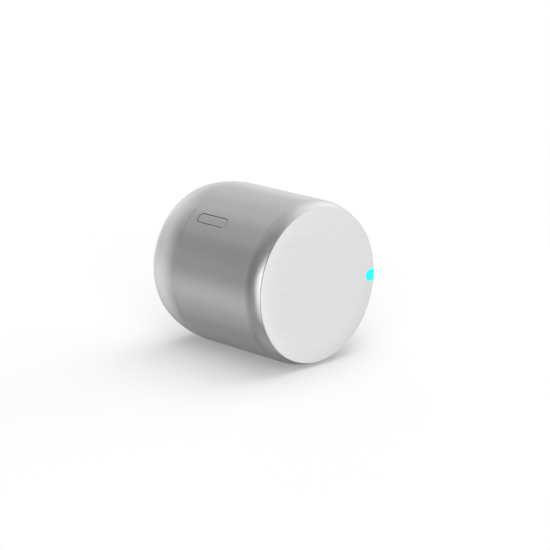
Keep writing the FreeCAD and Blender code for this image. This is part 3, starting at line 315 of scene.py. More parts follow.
def new_object(mesh, name="tool"):
    """A Blender object from a finished mesh, closed and with its faces outward."""
    bmesh.ops.remove_doubles(mesh, verts=mesh.verts, dist=WELD)
    bmesh.ops.recalc_face_normals(mesh, faces=mesh.faces)
    data = bpy.data.meshes.new(name)
    mesh.to_mesh(data)
    mesh.free()
    item = bpy.data.objects.new(name, data)
    bpy.context.scene.collection.objects.link(item)
    return item


def combine(piece, tool, operation="DIFFERENCE"):
    """Cut, join or intersect a piece with a tool body, which is then dropped."""
    modifier = piece.modifiers.new("Combine", "BOOLEAN")
    modifier.operation = operation
    modifier.object = tool
    modifier.solver = "EXACT"
    bpy.context.view_layer.update()
    shape = piece.evaluated_get(bpy.context.evaluated_depsgraph_get())
    made = bpy.data.meshes.new_from_object(shape)
    piece.modifiers.clear()
    old = piece.data
    piece.data = made
    made.name = piece.name
    bpy.data.meshes.remove(old)
    bpy.data.objects.remove(tool)
    if not made.polygons:
        raise RuntimeError("combining left nothing of " + piece.name)


def rod(mesh, radius, base, top, direction, place):
    """Add a capped cylinder that stands on a direction through a place."""
    direction = Vector(direction).normalized()
    middle = Vector(place) + direction * (base + top) / 2
    turn = direction.to_track_quat("Z", "Y").to_matrix().to_4x4()
    bmesh.ops.create_cone(mesh, cap_ends=True, segments=ROD_STEPS, radius1=radius,
                          radius2=radius, depth=top - base,
                          matrix=Matrix.Translation(middle) @ turn)


def rods(radius, base, top, places, direction=FORWARD):
    """A tool body of like rods that stand along one direction."""
    mesh = bmesh.new()
    for place in places:
        rod(mesh, radius, base, top, direction, place)
    return new_object(mesh)


def places_around(radius, angles):
    """Places on a circle about the lock's axis, by their way round from +X to the top."""
    return [(radius * math.cos(math.radians(angle)), 0, radius * math.sin(math.radians(angle)))
            for angle in angles]


def plate(width, span, middle):
    """A flat rectangle, to be rounded and raised."""
    mesh = bmesh.new()
    bmesh.ops.create_grid(mesh, x_segments=1, y_segments=1, size=0.5)
    bmesh.ops.scale(mesh, vec=(width, span, 1), verts=mesh.verts)
    bmesh.ops.translate(mesh, vec=middle, verts=mesh.verts)
    return mesh


def raised(mesh, height):
    """Raise a plate into a block, and tell its top face."""
    made = bmesh.ops.extrude_face_region(mesh, geom=mesh.faces[:])["geom"]
    top = next(item for item in made if isinstance(item, bmesh.types.BMFace))
    bmesh.ops.translate(mesh, vec=(0, 0, height), verts=top.verts)
    return top


def rounded_plug(width, span, corner, low, high, curve=0, soft=0):
    """A plug with round corners, flat or bent to the sleeve's roundness: X goes round the
    sleeve, Y along the lock and Z outward."""
    mesh = plate(width, span, (0, 0, low))
    round_off(mesh, mesh.verts[:], corner, PLUG_STEPS)
    face = raised(mesh, high - low)
    if soft:
        round_off(mesh, face.edges[:], soft, EDGE_STEPS, "EDGES")
    if not curve:
        return mesh
    for number in range(-(BEND_STRIPS // 2), BEND_STRIPS // 2 + 1):
        cut = mesh.verts[:] + mesh.edges[:] + mesh.faces[:]
        bmesh.ops.bisect_plane(mesh, geom=cut, dist=WELD, plane_no=(1, 0, 0),
                               plane_co=(number * width / BEND_STRIPS, 0, 0))
    for corner_point in mesh.verts:
        side = corner_point.co.x
        corner_point.co.z -= curve - math.sqrt(curve ** 2 - side ** 2)
    return mesh


def set_on_sleeve(mesh, angle, height):
    """Lay a plug down at its way round and height on the sleeve."""
    place = Matrix.Rotation(math.pi / 2 - angle, 4, "Y") @ Matrix.Translation((0, -height, 0))
    bmesh.ops.transform(mesh, matrix=place, verts=mesh.verts)
    return mesh


def dress(piece, body, slot, nodes):
    """Smooth a finished piece, give it its finish and tie it to the frame."""
    piece.data.shade_smooth()
    piece.data.set_sharp_from_angle(angle=SHARP_ANGLE)
    piece.data.materials.clear()
    piece.data.materials.append(finish_of(slot))
    normals = piece.modifiers.new("Even normals", "WEIGHTED_NORMAL")
    normals.keep_sharp = True
    normals.weight = LARGE_FACES_LEAD
    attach(piece, body)
    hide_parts(*nodes)


# Finishes

def output_of(tree, kind, inputs, output=0, **settings):
    """An output of a new node; an input takes a value, or the socket that feeds it."""
    made = tree.nodes.new(kind)
    for name, value in settings.items():
        setattr(made, name, value)
    for name, value in inputs.items():
        if isinstance(value, bpy.types.NodeSocket):
            tree.links.new(value, made.inputs[name])
        else:
            made.inputs[name].default_value = value
    return made.outputs[output]


class Finish:
    """A procedural material, built up from noise in the piece's own coordinates."""

    def __init__(self, name, tone, metallic, roughness):
        self.material = bpy.data.materials.new(name)
        self.material.use_nodes = True
        self.tree = self.material.node_tree
        self.shader = self.tree.nodes["Principled BSDF"]
        self.shader.inputs["Base Color"].default_value = (*tone, 1)
        self.shader.inputs["Metallic"].default_value = metallic
        self.shader.inputs["Roughness"].default_value = roughness
        self.tone = tone
        self.roughness = roughness
        self.place = self.tree.nodes.new("ShaderNodeTexCoord").outputs["Object"]

    def feed(self, name, socket):
        """Let a pattern drive one of the shader's inputs."""
        self.tree.links.new(socket, self.shader.inputs[name])

    def mapped(self, change, value):
        """The piece's coordinates, turned or stretched."""
        return output_of(self.tree, "ShaderNodeMapping", {"Vector": self.place, change: value})

    def noise(self, size, detail, stretch=None):
        """Soft noise with grains of about this size in metres."""
        source = self.mapped("Scale", stretch) if stretch else self.place
        return output_of(self.tree, "ShaderNodeTexNoise", {
            "Vector": source, "Scale": 1 / size, "Detail": detail}, "Fac")

    def lathe_lines(self, pitch, kind):
        """Fine rings about the lock's axis, or bands along it, as a turning tool leaves them."""
        return output_of(self.tree, "ShaderNodeTexWave", {
            "Vector": self.mapped("Rotation", QUARTER_TURN), "Distortion": 0.6, "Detail": 2,
            "Scale": 1 / pitch / WAVES_PER_UNIT}, "Fac",
            wave_type=kind, rings_direction="Z", bands_direction="Z")

    def mottle(self, pattern, spread):
        """Let the tone wander a little darker and lighter with a pattern."""
        ramp = output_of(self.tree, "ShaderNodeValToRGB", {"Fac": pattern})
        dark, light = ramp.node.color_ramp.elements
        dark.position, light.position = NOISE_LOW, NOISE_HIGH
        dark.color = (*[max(part * (1 - spread), 0) for part in self.tone], 1)
        light.color = (*[min(part * (1 + spread), 1) for part in self.tone], 1)
        self.feed("Base Color", ramp)

    def blotch(self, pattern, spread):
        """Let the roughness wander with a pattern."""
        self.feed("Roughness", output_of(self.tree, "ShaderNodeMapRange", {
            "Value": pattern, "From Min": NOISE_LOW, "From Max": NOISE_HIGH,
            "To Min": max(self.roughness - spread, LEAST_ROUGHNESS),
            "To Max": min(self.roughness + spread, 1)}))

    def relief(self, pattern, depth):
        """Raise and sink the surface with a pattern; a second one adds to the first."""
        inputs = {"Height": pattern, "Strength": 1, "Distance": depth}
        for before in self.shader.inputs["Normal"].links:
            inputs["Normal"] = before.from_socket
        self.feed("Normal", output_of(self.tree, "ShaderNodeBump", inputs))


def satin_aluminium(name, tone, roughness, grain):
    """Bead-blasted, clear-anodised aluminium."""
    finish = Finish(name, tone, METAL, roughness)
    finish.mottle(finish.noise(9 * MM, 3), spread=0.012)
    finish.blotch(finish.noise(grain * 6, 3), spread=0.02)
    finish.relief(finish.noise(grain, 1), depth=grain * 0.03)
    return finish.material


def brushed_aluminium(name, tone, roughness, grain):
    """Aluminium with a very fine straight brush, level with the door's floor."""
    finish = Finish(name, tone, METAL, roughness)
    finish.mottle(finish.noise(grain * 3, 3, BRUSH_STRETCH), spread=0.02)
    finish.blotch(finish.noise(grain * 6, 3), spread=0.015)
    finish.relief(finish.noise(grain, 2, BRUSH_STRETCH), depth=grain * 0.03)
    return finish.material


def turned_metal(name, tone, roughness, pitch):
    """Metal from the lathe: fine rings on its faces and feed marks along its bores."""
    finish = Finish(name, tone, METAL, roughness)
    finish.mottle(finish.noise(4 * MM, 3), spread=0.03)
    finish.blotch(finish.noise(0.8 * MM, 3), spread=0.03)
    for kind in ("RINGS", "BANDS"):
        finish.relief(finish.lathe_lines(pitch, kind), depth=pitch * 0.03)
    return finish.material


def plain_metal(name, tone, roughness, grain, spread=0.1):
    """Ground, cast or plated metal with a fine grain."""
    finish = Finish(name, tone, METAL, roughness)
    finish.mottle(finish.noise(4 * MM, 4), spread)
    finish.blotch(finish.noise(grain * 4, 3), spread=0.08)
    finish.relief(finish.noise(grain, 2), depth=grain * 0.08)
    return finish.material


def moulded(name, tone, roughness, grain, spread=0.12):
    """Moulded plastic or rubber with a fine spark-eroded grain."""
    finish = Finish(name, tone, NO_METAL, roughness)
    finish.mottle(finish.noise(5 * MM, 3), spread)
    finish.blotch(finish.noise(grain * 3, 2), spread=0.05)
    finish.relief(finish.noise(grain, 2), depth=grain * 0.12)
    return finish.material


def lit_guide(name, tone):
    """The frosted light guide, lit from behind, and not quite evenly."""
    finish = Finish(name, [part * 0.4 for part in tone], NO_METAL, 0.35)
    finish.relief(finish.noise(0.1 * MM, 1), depth=0.002 * MM)
    finish.feed("Emission Strength", output_of(finish.tree, "ShaderNodeMapRange", {
        "Value": finish.noise(1.2 * MM, 1), "To Min": 0.94, "To Max": 1}))
    finish.shader.inputs["Specular IOR Level"].default_value = 0.2
    finish.shader.inputs["Emission Color"].default_value = (*tone, 1)
    return finish.material


def circuit_board(name, tone):
    """Green lacquer over fine copper tracks that run in straight bands."""
    red, green, blue = tone
    finish = Finish(name, tone, NO_METAL, 0.38)
    tracks = output_of(finish.tree, "ShaderNodeTexBrick", {
        "Vector": finish.mapped("Rotation", QUARTER_TURN), "Scale": 260,
        "Mortar Size": 0.06, "Brick Width": 1.4, "Color1": (*tone, 1),
        "Color2": (red * 1.5, green * 1.25, blue * 1.4, 1),
        "Mortar": (red * 3, green * 1.9, blue * 1.6, 1)})
    finish.feed("Base Color", tracks)
    finish.relief(tracks.node.outputs["Fac"], depth=0.03 * MM)
    return finish.material


def lock_finishes(chosen):
    """One finish for each material slot of the record."""
    satin = (chosen.sleeve_tone, chosen.sleeve_roughness, chosen.grain_size)
    brushed = (chosen.disc_tone, chosen.disc_roughness, chosen.grain_size * 0.8)
    return {
        "satin_metal": satin_aluminium("Satin aluminium", *satin),
        "face_metal": brushed_aluminium("Brushed aluminium", *brushed),
        "button_metal": satin_aluminium("Button aluminium", *satin),
        "light": lit_guide("Lit light guide", chosen.light_tone),
        "rubber": moulded("Black rubber", (0.03, 0.03, 0.032), 0.75, 0.2 * MM),
        "machined_steel": turned_metal("Turned steel", (0.56, 0.56, 0.57), 0.28, 0.12 * MM),
        "bearing_steel": plain_metal("Ground bearing steel", (0.72, 0.72, 0.73), 0.12, 0.1 * MM,
                                     spread=0.03),
        "screw_steel": plain_metal("Zinc-plated screws", (0.42, 0.42, 0.44), 0.35, 0.2 * MM),
        "gear_steel": plain_metal("Sintered steel", (0.48, 0.47, 0.45), 0.42, 0.15 * MM),
        "brass": turned_metal("Machined brass", (0.80, 0.62, 0.30), 0.25, 0.1 * MM),
        "gear_plastic": moulded("Natural acetal", (0.86, 0.84, 0.78), 0.42, 0.25 * MM,
                                spread=0.04),
        "cast_zinc": plain_metal("Cast zinc", (0.46, 0.46, 0.47), 0.45, 0.3 * MM),
        "motor_metal": plain_metal("Plated motor can", (0.62, 0.62, 0.63), 0.3, 0.15 * MM,
                                   spread=0.05),
        "dark_iron": plain_metal("Dark iron", (0.16, 0.16, 0.17), 0.55, 0.2 * MM),
        "black_plastic": moulded("Black plastic", (0.035, 0.035, 0.037), 0.5, 0.2 * MM),
        "battery_wrap": moulded("Battery wrap", (0.10, 0.22, 0.46), 0.35, 0.4 * MM, spread=0.06),
        "foam": moulded("Grey foam", (0.14, 0.14, 0.14), 0.9, 0.6 * MM, spread=0.3),
        "board": circuit_board("Circuit board", (0.02, 0.16, 0.08)),
        "shield": plain_metal("Tinned shield", (0.66, 0.66, 0.67), 0.22, 0.4 * MM, spread=0.04),
    }


made_finishes = {}


def finish_of(slot):
    """The finish of a slot, made once for all pieces."""
    if not made_finishes:
        made_finishes.update(lock_finishes(bpy.context.scene.lock_finish))
    return made_finishes[slot]


# Studio

# Soft fields of light: a direction and a brightness for each, by the field's width. The width is
# the cosine of the angle from that direction where the field begins, and where it is full.
NARROW, MIDDLE, WIDE = (0.88, 1.0), (0.75, 0.98), (0.1, 0.9)

# What the metal mirrors, on top of an even level.
ROOM_LEVEL = 0.189
ROOM_FIELDS = {
    NARROW: [
        (0.13, -0.35, -0.93, 0.888),
        (-0.48, -0.85, -0.23, 0.850),
        (-0.96, -0.27, 0.01, 0.732),
        (-0.88, -0.38, 0.29, 0.629),
        (-0.84, -0.31, -0.45, 0.596),
        (0.09, -0.90, 0.43, 0.474),
        (0.05, -0.95, -0.30, 0.454),
        (0.53, 0.85, -0.01, 0.414),
        (0.36, -0.67, -0.65, 0.348),
        (0.24, 0.80, 0.55, 0.233),
        (0.11, 0.93, -0.35, 0.186),
        (0.55, -0.53, 0.65, 0.176),
        (-0.39, 0.82, -0.42, 0.169),
        (0.38, -0.90, -0.19, 0.168),
        (0.95, 0.22, 0.23, 0.158),
        (0.80, 0.31, 0.51, 0.140),
        (-0.26, 0.59, 0.77, 0.133),
        (-0.30, 0.16, -0.94, 0.132),
        (0.07, 0.92, 0.38, 0.111),
        (-0.74, 0.46, -0.49, 0.105),
        (-0.54, 0.83, -0.14, 0.102),
        (-0.45, 0.84, 0.31, 0.089),
        (0.02, 0.59, -0.81, 0.035),
    ],
    MIDDLE: [
        (-0.01, 1.00, -0.07, 0.325),
        (0.25, 0.07, 0.97, 0.149),
    ],
    WIDE: [
        (0.90, -0.31, 0.30, 0.619),
    ],
}

# What lights the floor and the other matt surfaces.
LAMP_FIELDS = {
    NARROW: [
        (1.00, 0.03, 0.01, 4.08),
        (-0.54, -0.58, 0.61, 3.82),
        (0.51, 0.11, 0.85, 2.04),
        (0.86, -0.51, 0.06, 1.94),
        (-0.60, -0.77, 0.23, 1.88),
        (0.58, 0.81, 0.04, 1.58),
        (-0.13, -0.12, 0.98, 1.53),
        (0.40, -0.15, 0.91, 0.99),
        (0.02, 0.23, 0.97, 0.87),
        (-0.31, 0.05, 0.95, 0.43),
        (0.00, 0.80, 0.59, 0.34),
    ],
}


def worked_out(tree, operation, first, second):
    """The result of a sum on two values or sockets."""
    return output_of(tree, "ShaderNodeMath", {0: first, 1: second}, operation=operation)


def brightness(tree, facing, level, fields):
    """A brightness for each direction: an even level and the soft fields on top of it."""
    total = level
    for (edge, core), rows in fields.items():
        for *direction, strength in rows:
            nearness = output_of(tree, "ShaderNodeVectorMath", {
                0: facing, 1: Vector(direction).normalized()}, "Value", operation="DOT_PRODUCT")
            field = output_of(tree, "ShaderNodeMapRange", {
                "Value": nearness, "From Min": edge, "From Max": core,
                "To Min": 0, "To Max": strength}, interpolation_type="SMOOTHSTEP")
            total = worked_out(tree, "ADD", total, field)
    return total


def make_room(ambient):
    """White to the eye, a studio's shades to the metal, and soft light for all else."""
    world = bpy.data.worlds.new("Studio")
    bpy.context.scene.world = world
    world.use_nodes = True
    tree = world.node_tree
    tree.nodes.clear()
    facing = tree.nodes.new("ShaderNodeTexCoord").outputs["Generated"]
    path = tree.nodes.new("ShaderNodeLightPath").outputs
    straight = worked_out(tree, "MAXIMUM", path["Is Camera Ray"], path["Is Transmission Ray"])
    before_matt = worked_out(tree, "LESS_THAN", path["Diffuse Depth"], 0.5)
    mirrored = worked_out(tree, "MULTIPLY", path["Is Glossy Ray"], before_matt)
    seen = worked_out(tree, "MAXIMUM", straight, mirrored)
    shade = brightness(tree, facing, ROOM_LEVEL, ROOM_FIELDS)
    tone = output_of(tree, "ShaderNodeMix", {0: straight, 2: shade, 3: 1}, data_type="FLOAT")
    backdrop = output_of(tree, "ShaderNodeBackground", {"Color": WHITE, "Strength": tone})
    not_mirrored = worked_out(tree, "SUBTRACT", 1, path["Is Glossy Ray"])
    lamps = worked_out(tree, "MULTIPLY", brightness(tree, facing, 0, LAMP_FIELDS), not_mirrored)
    light = output_of(tree, "ShaderNodeBackground", {
        "Color": WHITE, "Strength": worked_out(tree, "ADD", ambient, lamps)})
    both = output_of(tree, "ShaderNodeMixShader", {"Fac": seen, 1: light, 2: backdrop})
    tree.links.new(both, tree.nodes.new("ShaderNodeOutputWorld").inputs["Surface"])


def floor_finish(tone):
    """A white floor that keeps the lock's shadow, and that the metal looks past."""
    material = bpy.data.materials.new("White floor")
    material.use_nodes = True
    tree = material.node_tree
    tree.nodes.clear()
    path = tree.nodes.new("ShaderNodeLightPath").outputs
    matt = output_of(tree, "ShaderNodeBsdfDiffuse", {"Color": (tone, tone, tone, 1)})
    missing = worked_out(tree, "MULTIPLY", path["Is Camera Ray"], 1 - OPEN_FLOOR_LIGHT * tone)
    lift = output_of(tree, "ShaderNodeEmission", {"Color": WHITE, "Strength": missing})
    near = output_of(tree, "ShaderNodeAddShader", {0: matt, 1: lift})
    far = output_of(tree, "ShaderNodeEmission", {"Color": WHITE})
    place = tree.nodes.new("ShaderNodeTexCoord").outputs["Object"]
    reach = output_of(tree, "ShaderNodeVectorMath", {0: place}, "Value", operation="LENGTH")
    fade = output_of(tree, "ShaderNodeMapRange", {
        "Value": reach, "From Min": SHADOW_REACH, "From Max": WHITE_REACH},
        interpolation_type="SMOOTHSTEP")
    outside = worked_out(tree, "MULTIPLY", fade, path["Is Camera Ray"])
    white = output_of(tree, "ShaderNodeMixShader", {"Fac": outside, 1: near, 2: far})
    clear = output_of(tree, "ShaderNodeBsdfTransparent", {})
    whole = output_of(tree, "ShaderNodeMixShader", {
        "Fac": path["Is Glossy Ray"], 1: white, 2: clear})
    tree.links.new(whole, tree.nodes.new("ShaderNodeOutputMaterial").inputs["Surface"])
    return material


# Tools

class SMARTLOCK_OT_stage(bpy.types.Operator):
    """Set up the floor, the room with its light, and the camera"""
    bl_idname = "smartlock.stage"
    bl_label = "Stage"

    def execute(self, context):
        scene = context.scene
        studio = scene.lock_studio
        scene.view_settings.view_transform = "Standard"
        make_room(studio.ambient)
        ground = bmesh.new()
        bmesh.ops.create_circle(ground, cap_ends=True, segments=FLOOR_STEPS, radius=FLOOR_RADIUS)
        bmesh.ops.translate(ground, vec=(0, 0, FRAME_LOW.z), verts=ground.verts)
        floor = bpy.data.objects.new("floor", bpy.data.meshes.new("floor"))
        ground.to_mesh(floor.data)
        ground.free()
        scene.collection.objects.link(floor)
        floor.data.materials.append(floor_finish(studio.floor_tone))
        camera = bpy.data.cameras.new("camera")
        camera.lens = studio.lens
        camera.clip_start = NEAREST_SEEN
        viewer = bpy.data.objects.new("camera", camera)
        viewer.location = studio.camera_place
        aim = Vector(studio.camera_aim)
        viewer.rotation_euler = aim.to_track_quat("-Z", "Y").to_euler()
        scene.collection.objects.link(viewer)
        scene.camera = viewer
        return {"FINISHED"}


class SMARTLOCK_OT_sleeve(bpy.types.Operator):
    """Turn the sleeve and cut the windows of the button and the charging insert"""
    bl_idname = "smartlock.sleeve"
    bl_label = "Sleeve"

    def execute(self, context):
        size = context.scene.lock_sizes
        inner = size.body_radius - size.sleeve_wall
        front = size.body_radius - size.shoulder_inset
        start = size.sleeve_top - size.shoulder_depth
        curve = (size.shoulder_depth ** 2 + size.shoulder_inset ** 2) / (2 * size.shoulder_inset)
        section = Section(inner, size.sleeve_base)
        section.lines(
            (size.body_radius, size.sleeve_base, size.seam_break),
            (size.body_radius, start))
        section.arc(front, size.sleeve_top, size.body_radius - curve, start, SHOULDER_STEPS,
                    soft=size.edge_break / 2)
        section.lines((inner, size.sleeve_top))
        sleeve = new_object(section.turned(), "sleeve")
        for width, span, corner, angle, height in (
                (size.button_width, size.button_length, size.button_corner,
                 size.button_angle, size.button_height),
                (size.contact_width, size.contact_length, size.contact_corner,
                 size.button_angle + math.pi, size.contact_height)):
            window = rounded_plug(width, span, corner, inner - 2 * OVERCUT,
                                  size.body_radius + OVERCUT, size.body_radius)
            combine(sleeve, new_object(set_on_sleeve(window, angle, height)))
        spots = places_around(size.lug_place, LUG_ANGLES)
        lug_top = size.lug_base + size.lug_height
        combine(sleeve, rods(size.lug_radius, size.lug_base, lug_top, spots), "UNION")
        combine(sleeve, rods(size.lug_bore, size.lug_base - OVERCUT, lug_top - size.lug_end,
                             spots))
        dress(sleeve, "knob", "satin_metal", ["outer_sleeve"])
        return {"FINISHED"}


class SMARTLOCK_OT_collar(bpy.types.Operator):
    """Turn the domed collar, bore the clamp screw's key hole and drill the screw holes"""
    bl_idname = "smartlock.collar"
    bl_label = "Collar"

    def execute(self, context):
        body = context.scene.lock_sizes
        size = context.scene.mount_sizes
        width = body.body_radius - size.rear_radius
        corner = size.dome_corner
        curve = ((width ** 2 + (size.seam_height - corner) ** 2 - corner ** 2)
                 / (2 * (width - corner)))
        ratio = corner / (curve - corner)
        joint_radius = size.rear_radius + ratio * (curve - width)
        joint_height = corner - ratio * (size.seam_height - corner)
        slide_base = size.seam_height - size.slide_depth
        section = Section(size.collar_bore, 0)
        section.lines(
            (size.pad_inner - PLAY, 0, body.edge_break / 2),
            (size.pad_inner - PLAY, size.pad_thickness),
            (size.pad_outer + PLAY, size.pad_thickness),
            (size.pad_outer + PLAY, 0, body.edge_break / 2),
            (size.rear_radius, 0))
        section.arc(joint_radius, joint_height, size.rear_radius, corner, DOME_STEPS)
        section.arc(body.body_radius, size.seam_height, body.body_radius - curve,
                    size.seam_height, SHOULDER_STEPS, soft=body.seam_break)
        section.lines(
            (size.mouth_radius, size.seam_height),
            (size.mouth_radius, slide_base),
            (size.slide_seat, slide_base),
            (size.slide_seat, size.gear_seat_top),
            (size.gear_seat, size.gear_seat_top),
            (size.gear_seat, size.collar_floor),
            (size.collar_bore, size.collar_floor))
        collar = new_object(section.turned(), "collar")
        combine(collar, rods(size.key_hole_radius, size.neck_radius - OVERCUT / 2,
                             body.body_radius, [(0, -size.key_hole_height, 0)], DOWN))
        spots = (places_around(size.hub_screw_place, HUB_SCREW_ANGLES)
                 + places_around(size.ring_screw_place, RING_SCREW_ANGLES))
        combine(collar, rods(size.screw_hole, size.collar_floor - size.screw_reach,
                             size.collar_floor + OVERCUT, spots))
        dress(collar, "base", "satin_metal", ["rear_collar"])
        return {"FINISHED"}


class SMARTLOCK_OT_door_pad(bpy.types.Operator):
    """Turn the rubber pad on the rear face, with two grooves towards the door"""
    bl_idname = "smartlock.door_pad"
    bl_label = "Door pad"

    def execute(self, context):
        size = context.scene.mount_sizes
        groove = size.pad_groove
        soft = 0.2 * MM
        third = (size.pad_outer - size.pad_inner) / 3
        section = Section(size.pad_inner, size.pad_thickness)
        section.lines((size.pad_inner, 0, soft))
        for middle in (size.pad_inner + third, size.pad_outer - third):
            section.lines((middle - groove, 0), (middle, groove), (middle + groove, 0))
        section.lines((size.pad_outer, 0, soft), (size.pad_outer, size.pad_thickness))
        pad = new_object(section.turned(HUB_STEPS), "rubber_pad")
        dress(pad, "base", "rubber", ["door_pad"])
        return {"FINISHED"}


class SMARTLOCK_OT_adapter(bpy.types.Operator):
    """Turn the steel hub that grips the cylinder's neck, with its screw holes"""
    bl_idname = "smartlock.adapter"
    bl_label = "Adapter hub"

    def execute(self, context):
        size = context.scene.mount_sizes
        chamfer, soft, fine = 0.2 * MM, 0.15 * MM, 0.1 * MM
        thread_radius = size.key_hole_radius - 0.02 * MM
        groove_floor = size.nose_radius - size.groove_depth
        section = Section(size.socket_radius, chamfer)
        section.lines(
            (size.socket_radius + chamfer, 0),
            (size.neck_radius, 0, soft),
            (size.neck_radius, size.collar_floor),
            (size.hub_flange_radius, size.collar_floor, fine),
            (size.hub_flange_radius, size.flange_top, soft),
            (size.shoulder_radius, size.flange_top),
            (size.shoulder_radius, size.bearing_base, fine),
            (size.nose_radius, size.bearing_base),
            (size.nose_radius, size.groove_base),
            (groove_floor, size.groove_base),
            (groove_floor, size.groove_top),
            (size.nose_radius, size.groove_top),
            (size.nose_radius, size.nose_top, soft),
            (size.nose_bore, size.nose_top, soft),
            (size.nose_bore, size.socket_depth),
            (size.socket_radius, size.socket_depth))
        hub = new_object(section.turned(HUB_STEPS), "hub")
        spots = places_around(size.hub_screw_place, HUB_SCREW_ANGLES)
        top = size.flange_top + OVERCUT
        combine(hub, rods(size.screw_hole, size.collar_floor - OVERCUT, top, spots))
        combine(hub, rods(size.head_radius, size.flange_top - size.head_depth, top, spots))
        combine(hub, rods(thread_radius, size.socket_radius - OVERCUT,
                          size.neck_radius + OVERCUT, [(0, -size.key_hole_height, 0)], DOWN))
        dress(hub, "base", "machined_steel", ["adapter_hub"])
        return {"FINISHED"}


class SMARTLOCK_OT_coupling(bpy.types.Operator):
    """Turn the spindle coupling and cut its key slot"""
    bl_idname = "smartlock.coupling"
    bl_label = "Spindle coupling"

    def execute(self, context):
        size = context.scene.mount_sizes
        chamfer, soft = 0.3 * MM, 0.25 * MM
        section = Section(size.spindle_radius, size.coupling_base + chamfer)
        section.lines(
            (size.spindle_radius + chamfer, size.coupling_base),
            (size.coupling_radius, size.coupling_base, soft),
            (size.coupling_radius, size.coupling_top),
            (size.coupling_screw, size.coupling_top),
            (size.coupling_screw, size.screw_seat),
            (size.screw_head_seat, size.screw_seat),
            (size.screw_head_seat, size.spindle_top),
            (size.spindle_radius, size.spindle_top))
        coupling = new_object(section.turned(COUPLING_STEPS), "coupling")
        depth = size.spindle_radius + size.key_depth
        reach = size.spindle_top - size.coupling_base + OVERCUT
        slot = bmesh.new()
        bmesh.ops.create_cube(slot, size=1)
        bmesh.ops.scale(slot, vec=(size.key_width, reach, depth), verts=slot.verts)
        bmesh.ops.translate(slot, vec=(0, -size.spindle_top + reach / 2, depth / 2),
                            verts=slot.verts)
        combine(coupling, new_object(slot))
        dress(coupling, "knob", "machined_steel", ["spindle_coupling"])
        return {"FINISHED"}


def disc_outline(size, inner_end):
    """The disc's outside, from its spigot up over the rim and the crown to the axis."""
    top = size.body_length
    rim = top - size.crown_drop
    rim_base = rim - size.rim_depth
    base = top - size.disc_plate - size.spigot_depth
    spigot = size.body_radius - size.sleeve_wall - PLAY
    curve = (size.crown_width ** 2 + size.crown_drop ** 2) / (2 * size.crown_drop)
    flat = size.disc_radius - size.crown_width
    section = Section(*inner_end)
    section.lines((spigot, base), (spigot, rim_base), (size.disc_radius, rim_base),
                  (size.disc_radius, rim, size.seam_break))
    section.arc(flat, top, flat, top - curve, CROWN_STEPS)
    section.lines((0, top))
    return section


def light_slot(size, play):
    """The light guide's upright outline, round inside and open past the disc's edge."""
    left, right = size.light_inner - play, size.body_radius + LIGHT_OVERCUT
    middle = (left + right) / 2
    mesh = plate(right - left, size.light_width + 2 * play, (middle, size.light_offset, 0))
    round_off(mesh, [corner for corner in mesh.verts if corner.co.x < middle],
              size.light_corner, LIGHT_STEPS)
    raised(mesh, size.body_length)
    bmesh.ops.rotate(mesh, verts=mesh.verts, matrix=Matrix.Rotation(math.pi / 2, 3, "X"))
    bmesh.ops.translate(mesh, vec=(0, LIGHT_OVERCUT - size.body_length, 0), verts=mesh.verts)
    return mesh


class SMARTLOCK_OT_front_disc(bpy.types.Operator):
    """Turn the front disc and cut the light guide's slot"""
    bl_idname = "smartlock.front_disc"
    bl_label = "Front disc"

    def execute(self, context):
        size = context.scene.lock_sizes
        under = size.body_length - size.disc_plate
        base = under - size.spigot_depth
        wall = size.body_radius - size.sleeve_wall - size.spigot_wall
        section = disc_outline(size, (wall, base))
        tip = section.tip
        section.tip = section.first
        section.lines((wall, under), (0, under))
        section.tip = tip
        disc = new_object(section.turned(), "front_disc")
        combine(disc, new_object(light_slot(size, LIGHT_PLAY)))
        dress(disc, "knob", "face_metal", ["front_cap"])
        return {"FINISHED"}


class SMARTLOCK_OT_status_light(bpy.types.Operator):
    """Shape the light guide to the disc's outside"""
    bl_idname = "smartlock.status_light"
    bl_label = "Status light"

    def execute(self, context):
        size = context.scene.lock_sizes
        base = size.body_length - size.disc_plate - size.spigot_depth
        section = disc_outline(size, (0, base))
        guide = new_object(section.turned(), "light_guide_piece")
        combine(guide, new_object(light_slot(size, 0)), "INTERSECT")
        dress(guide, "knob", "light", ["light_guide"])
        return {"FINISHED"}


class SMARTLOCK_OT_button(bpy.types.Operator):
    """Shape the push button to the sleeve's roundness, with its flange and stem"""
    bl_idname = "smartlock.button"
    bl_label = "Button"

    def execute(self, context):
        size = context.scene.lock_sizes
        gap = size.button_gap
        face = size.body_radius - size.button_sink
        width = size.button_width - 2 * gap
        inner = face - size.button_depth
        soft, corner = 0.03 * MM, 0.8 * MM
        cap = rounded_plug(width, size.button_length - 2 * gap, size.button_corner - gap,
                           inner, face, face, soft)
        button = new_object(set_on_sleeve(cap, size.button_angle, size.button_height), "button")
        low, high = size.flange_inner, size.flange_inner + size.flange_thickness
        riser_width, riser_length = width * 0.93, size.flange_length - 0.6 * MM
        riser_low, riser_high = low + 0.13 * MM, inner + 0.3 * MM
        for wide, span, base, top in (
                (riser_width, riser_length, riser_low, riser_high),
                (size.flange_width, size.flange_length, low, high)):
            block = rounded_plug(wide, span, corner, base, top)
            set_on_sleeve(block, size.button_angle, size.button_height)
            combine(button, new_object(block), "UNION")
        outward = (math.cos(size.button_angle), 0, math.sin(size.button_angle))
        stem_top = low + 0.2 * MM
        stem = rods(size.stem_radius, low - size.stem_length, stem_top,
                    [(0, -size.button_height, 0)], outward)
        combine(button, stem, "UNION")
        dress(button, "button", "button_metal", ["button_cap"])
        return {"FINISHED"}


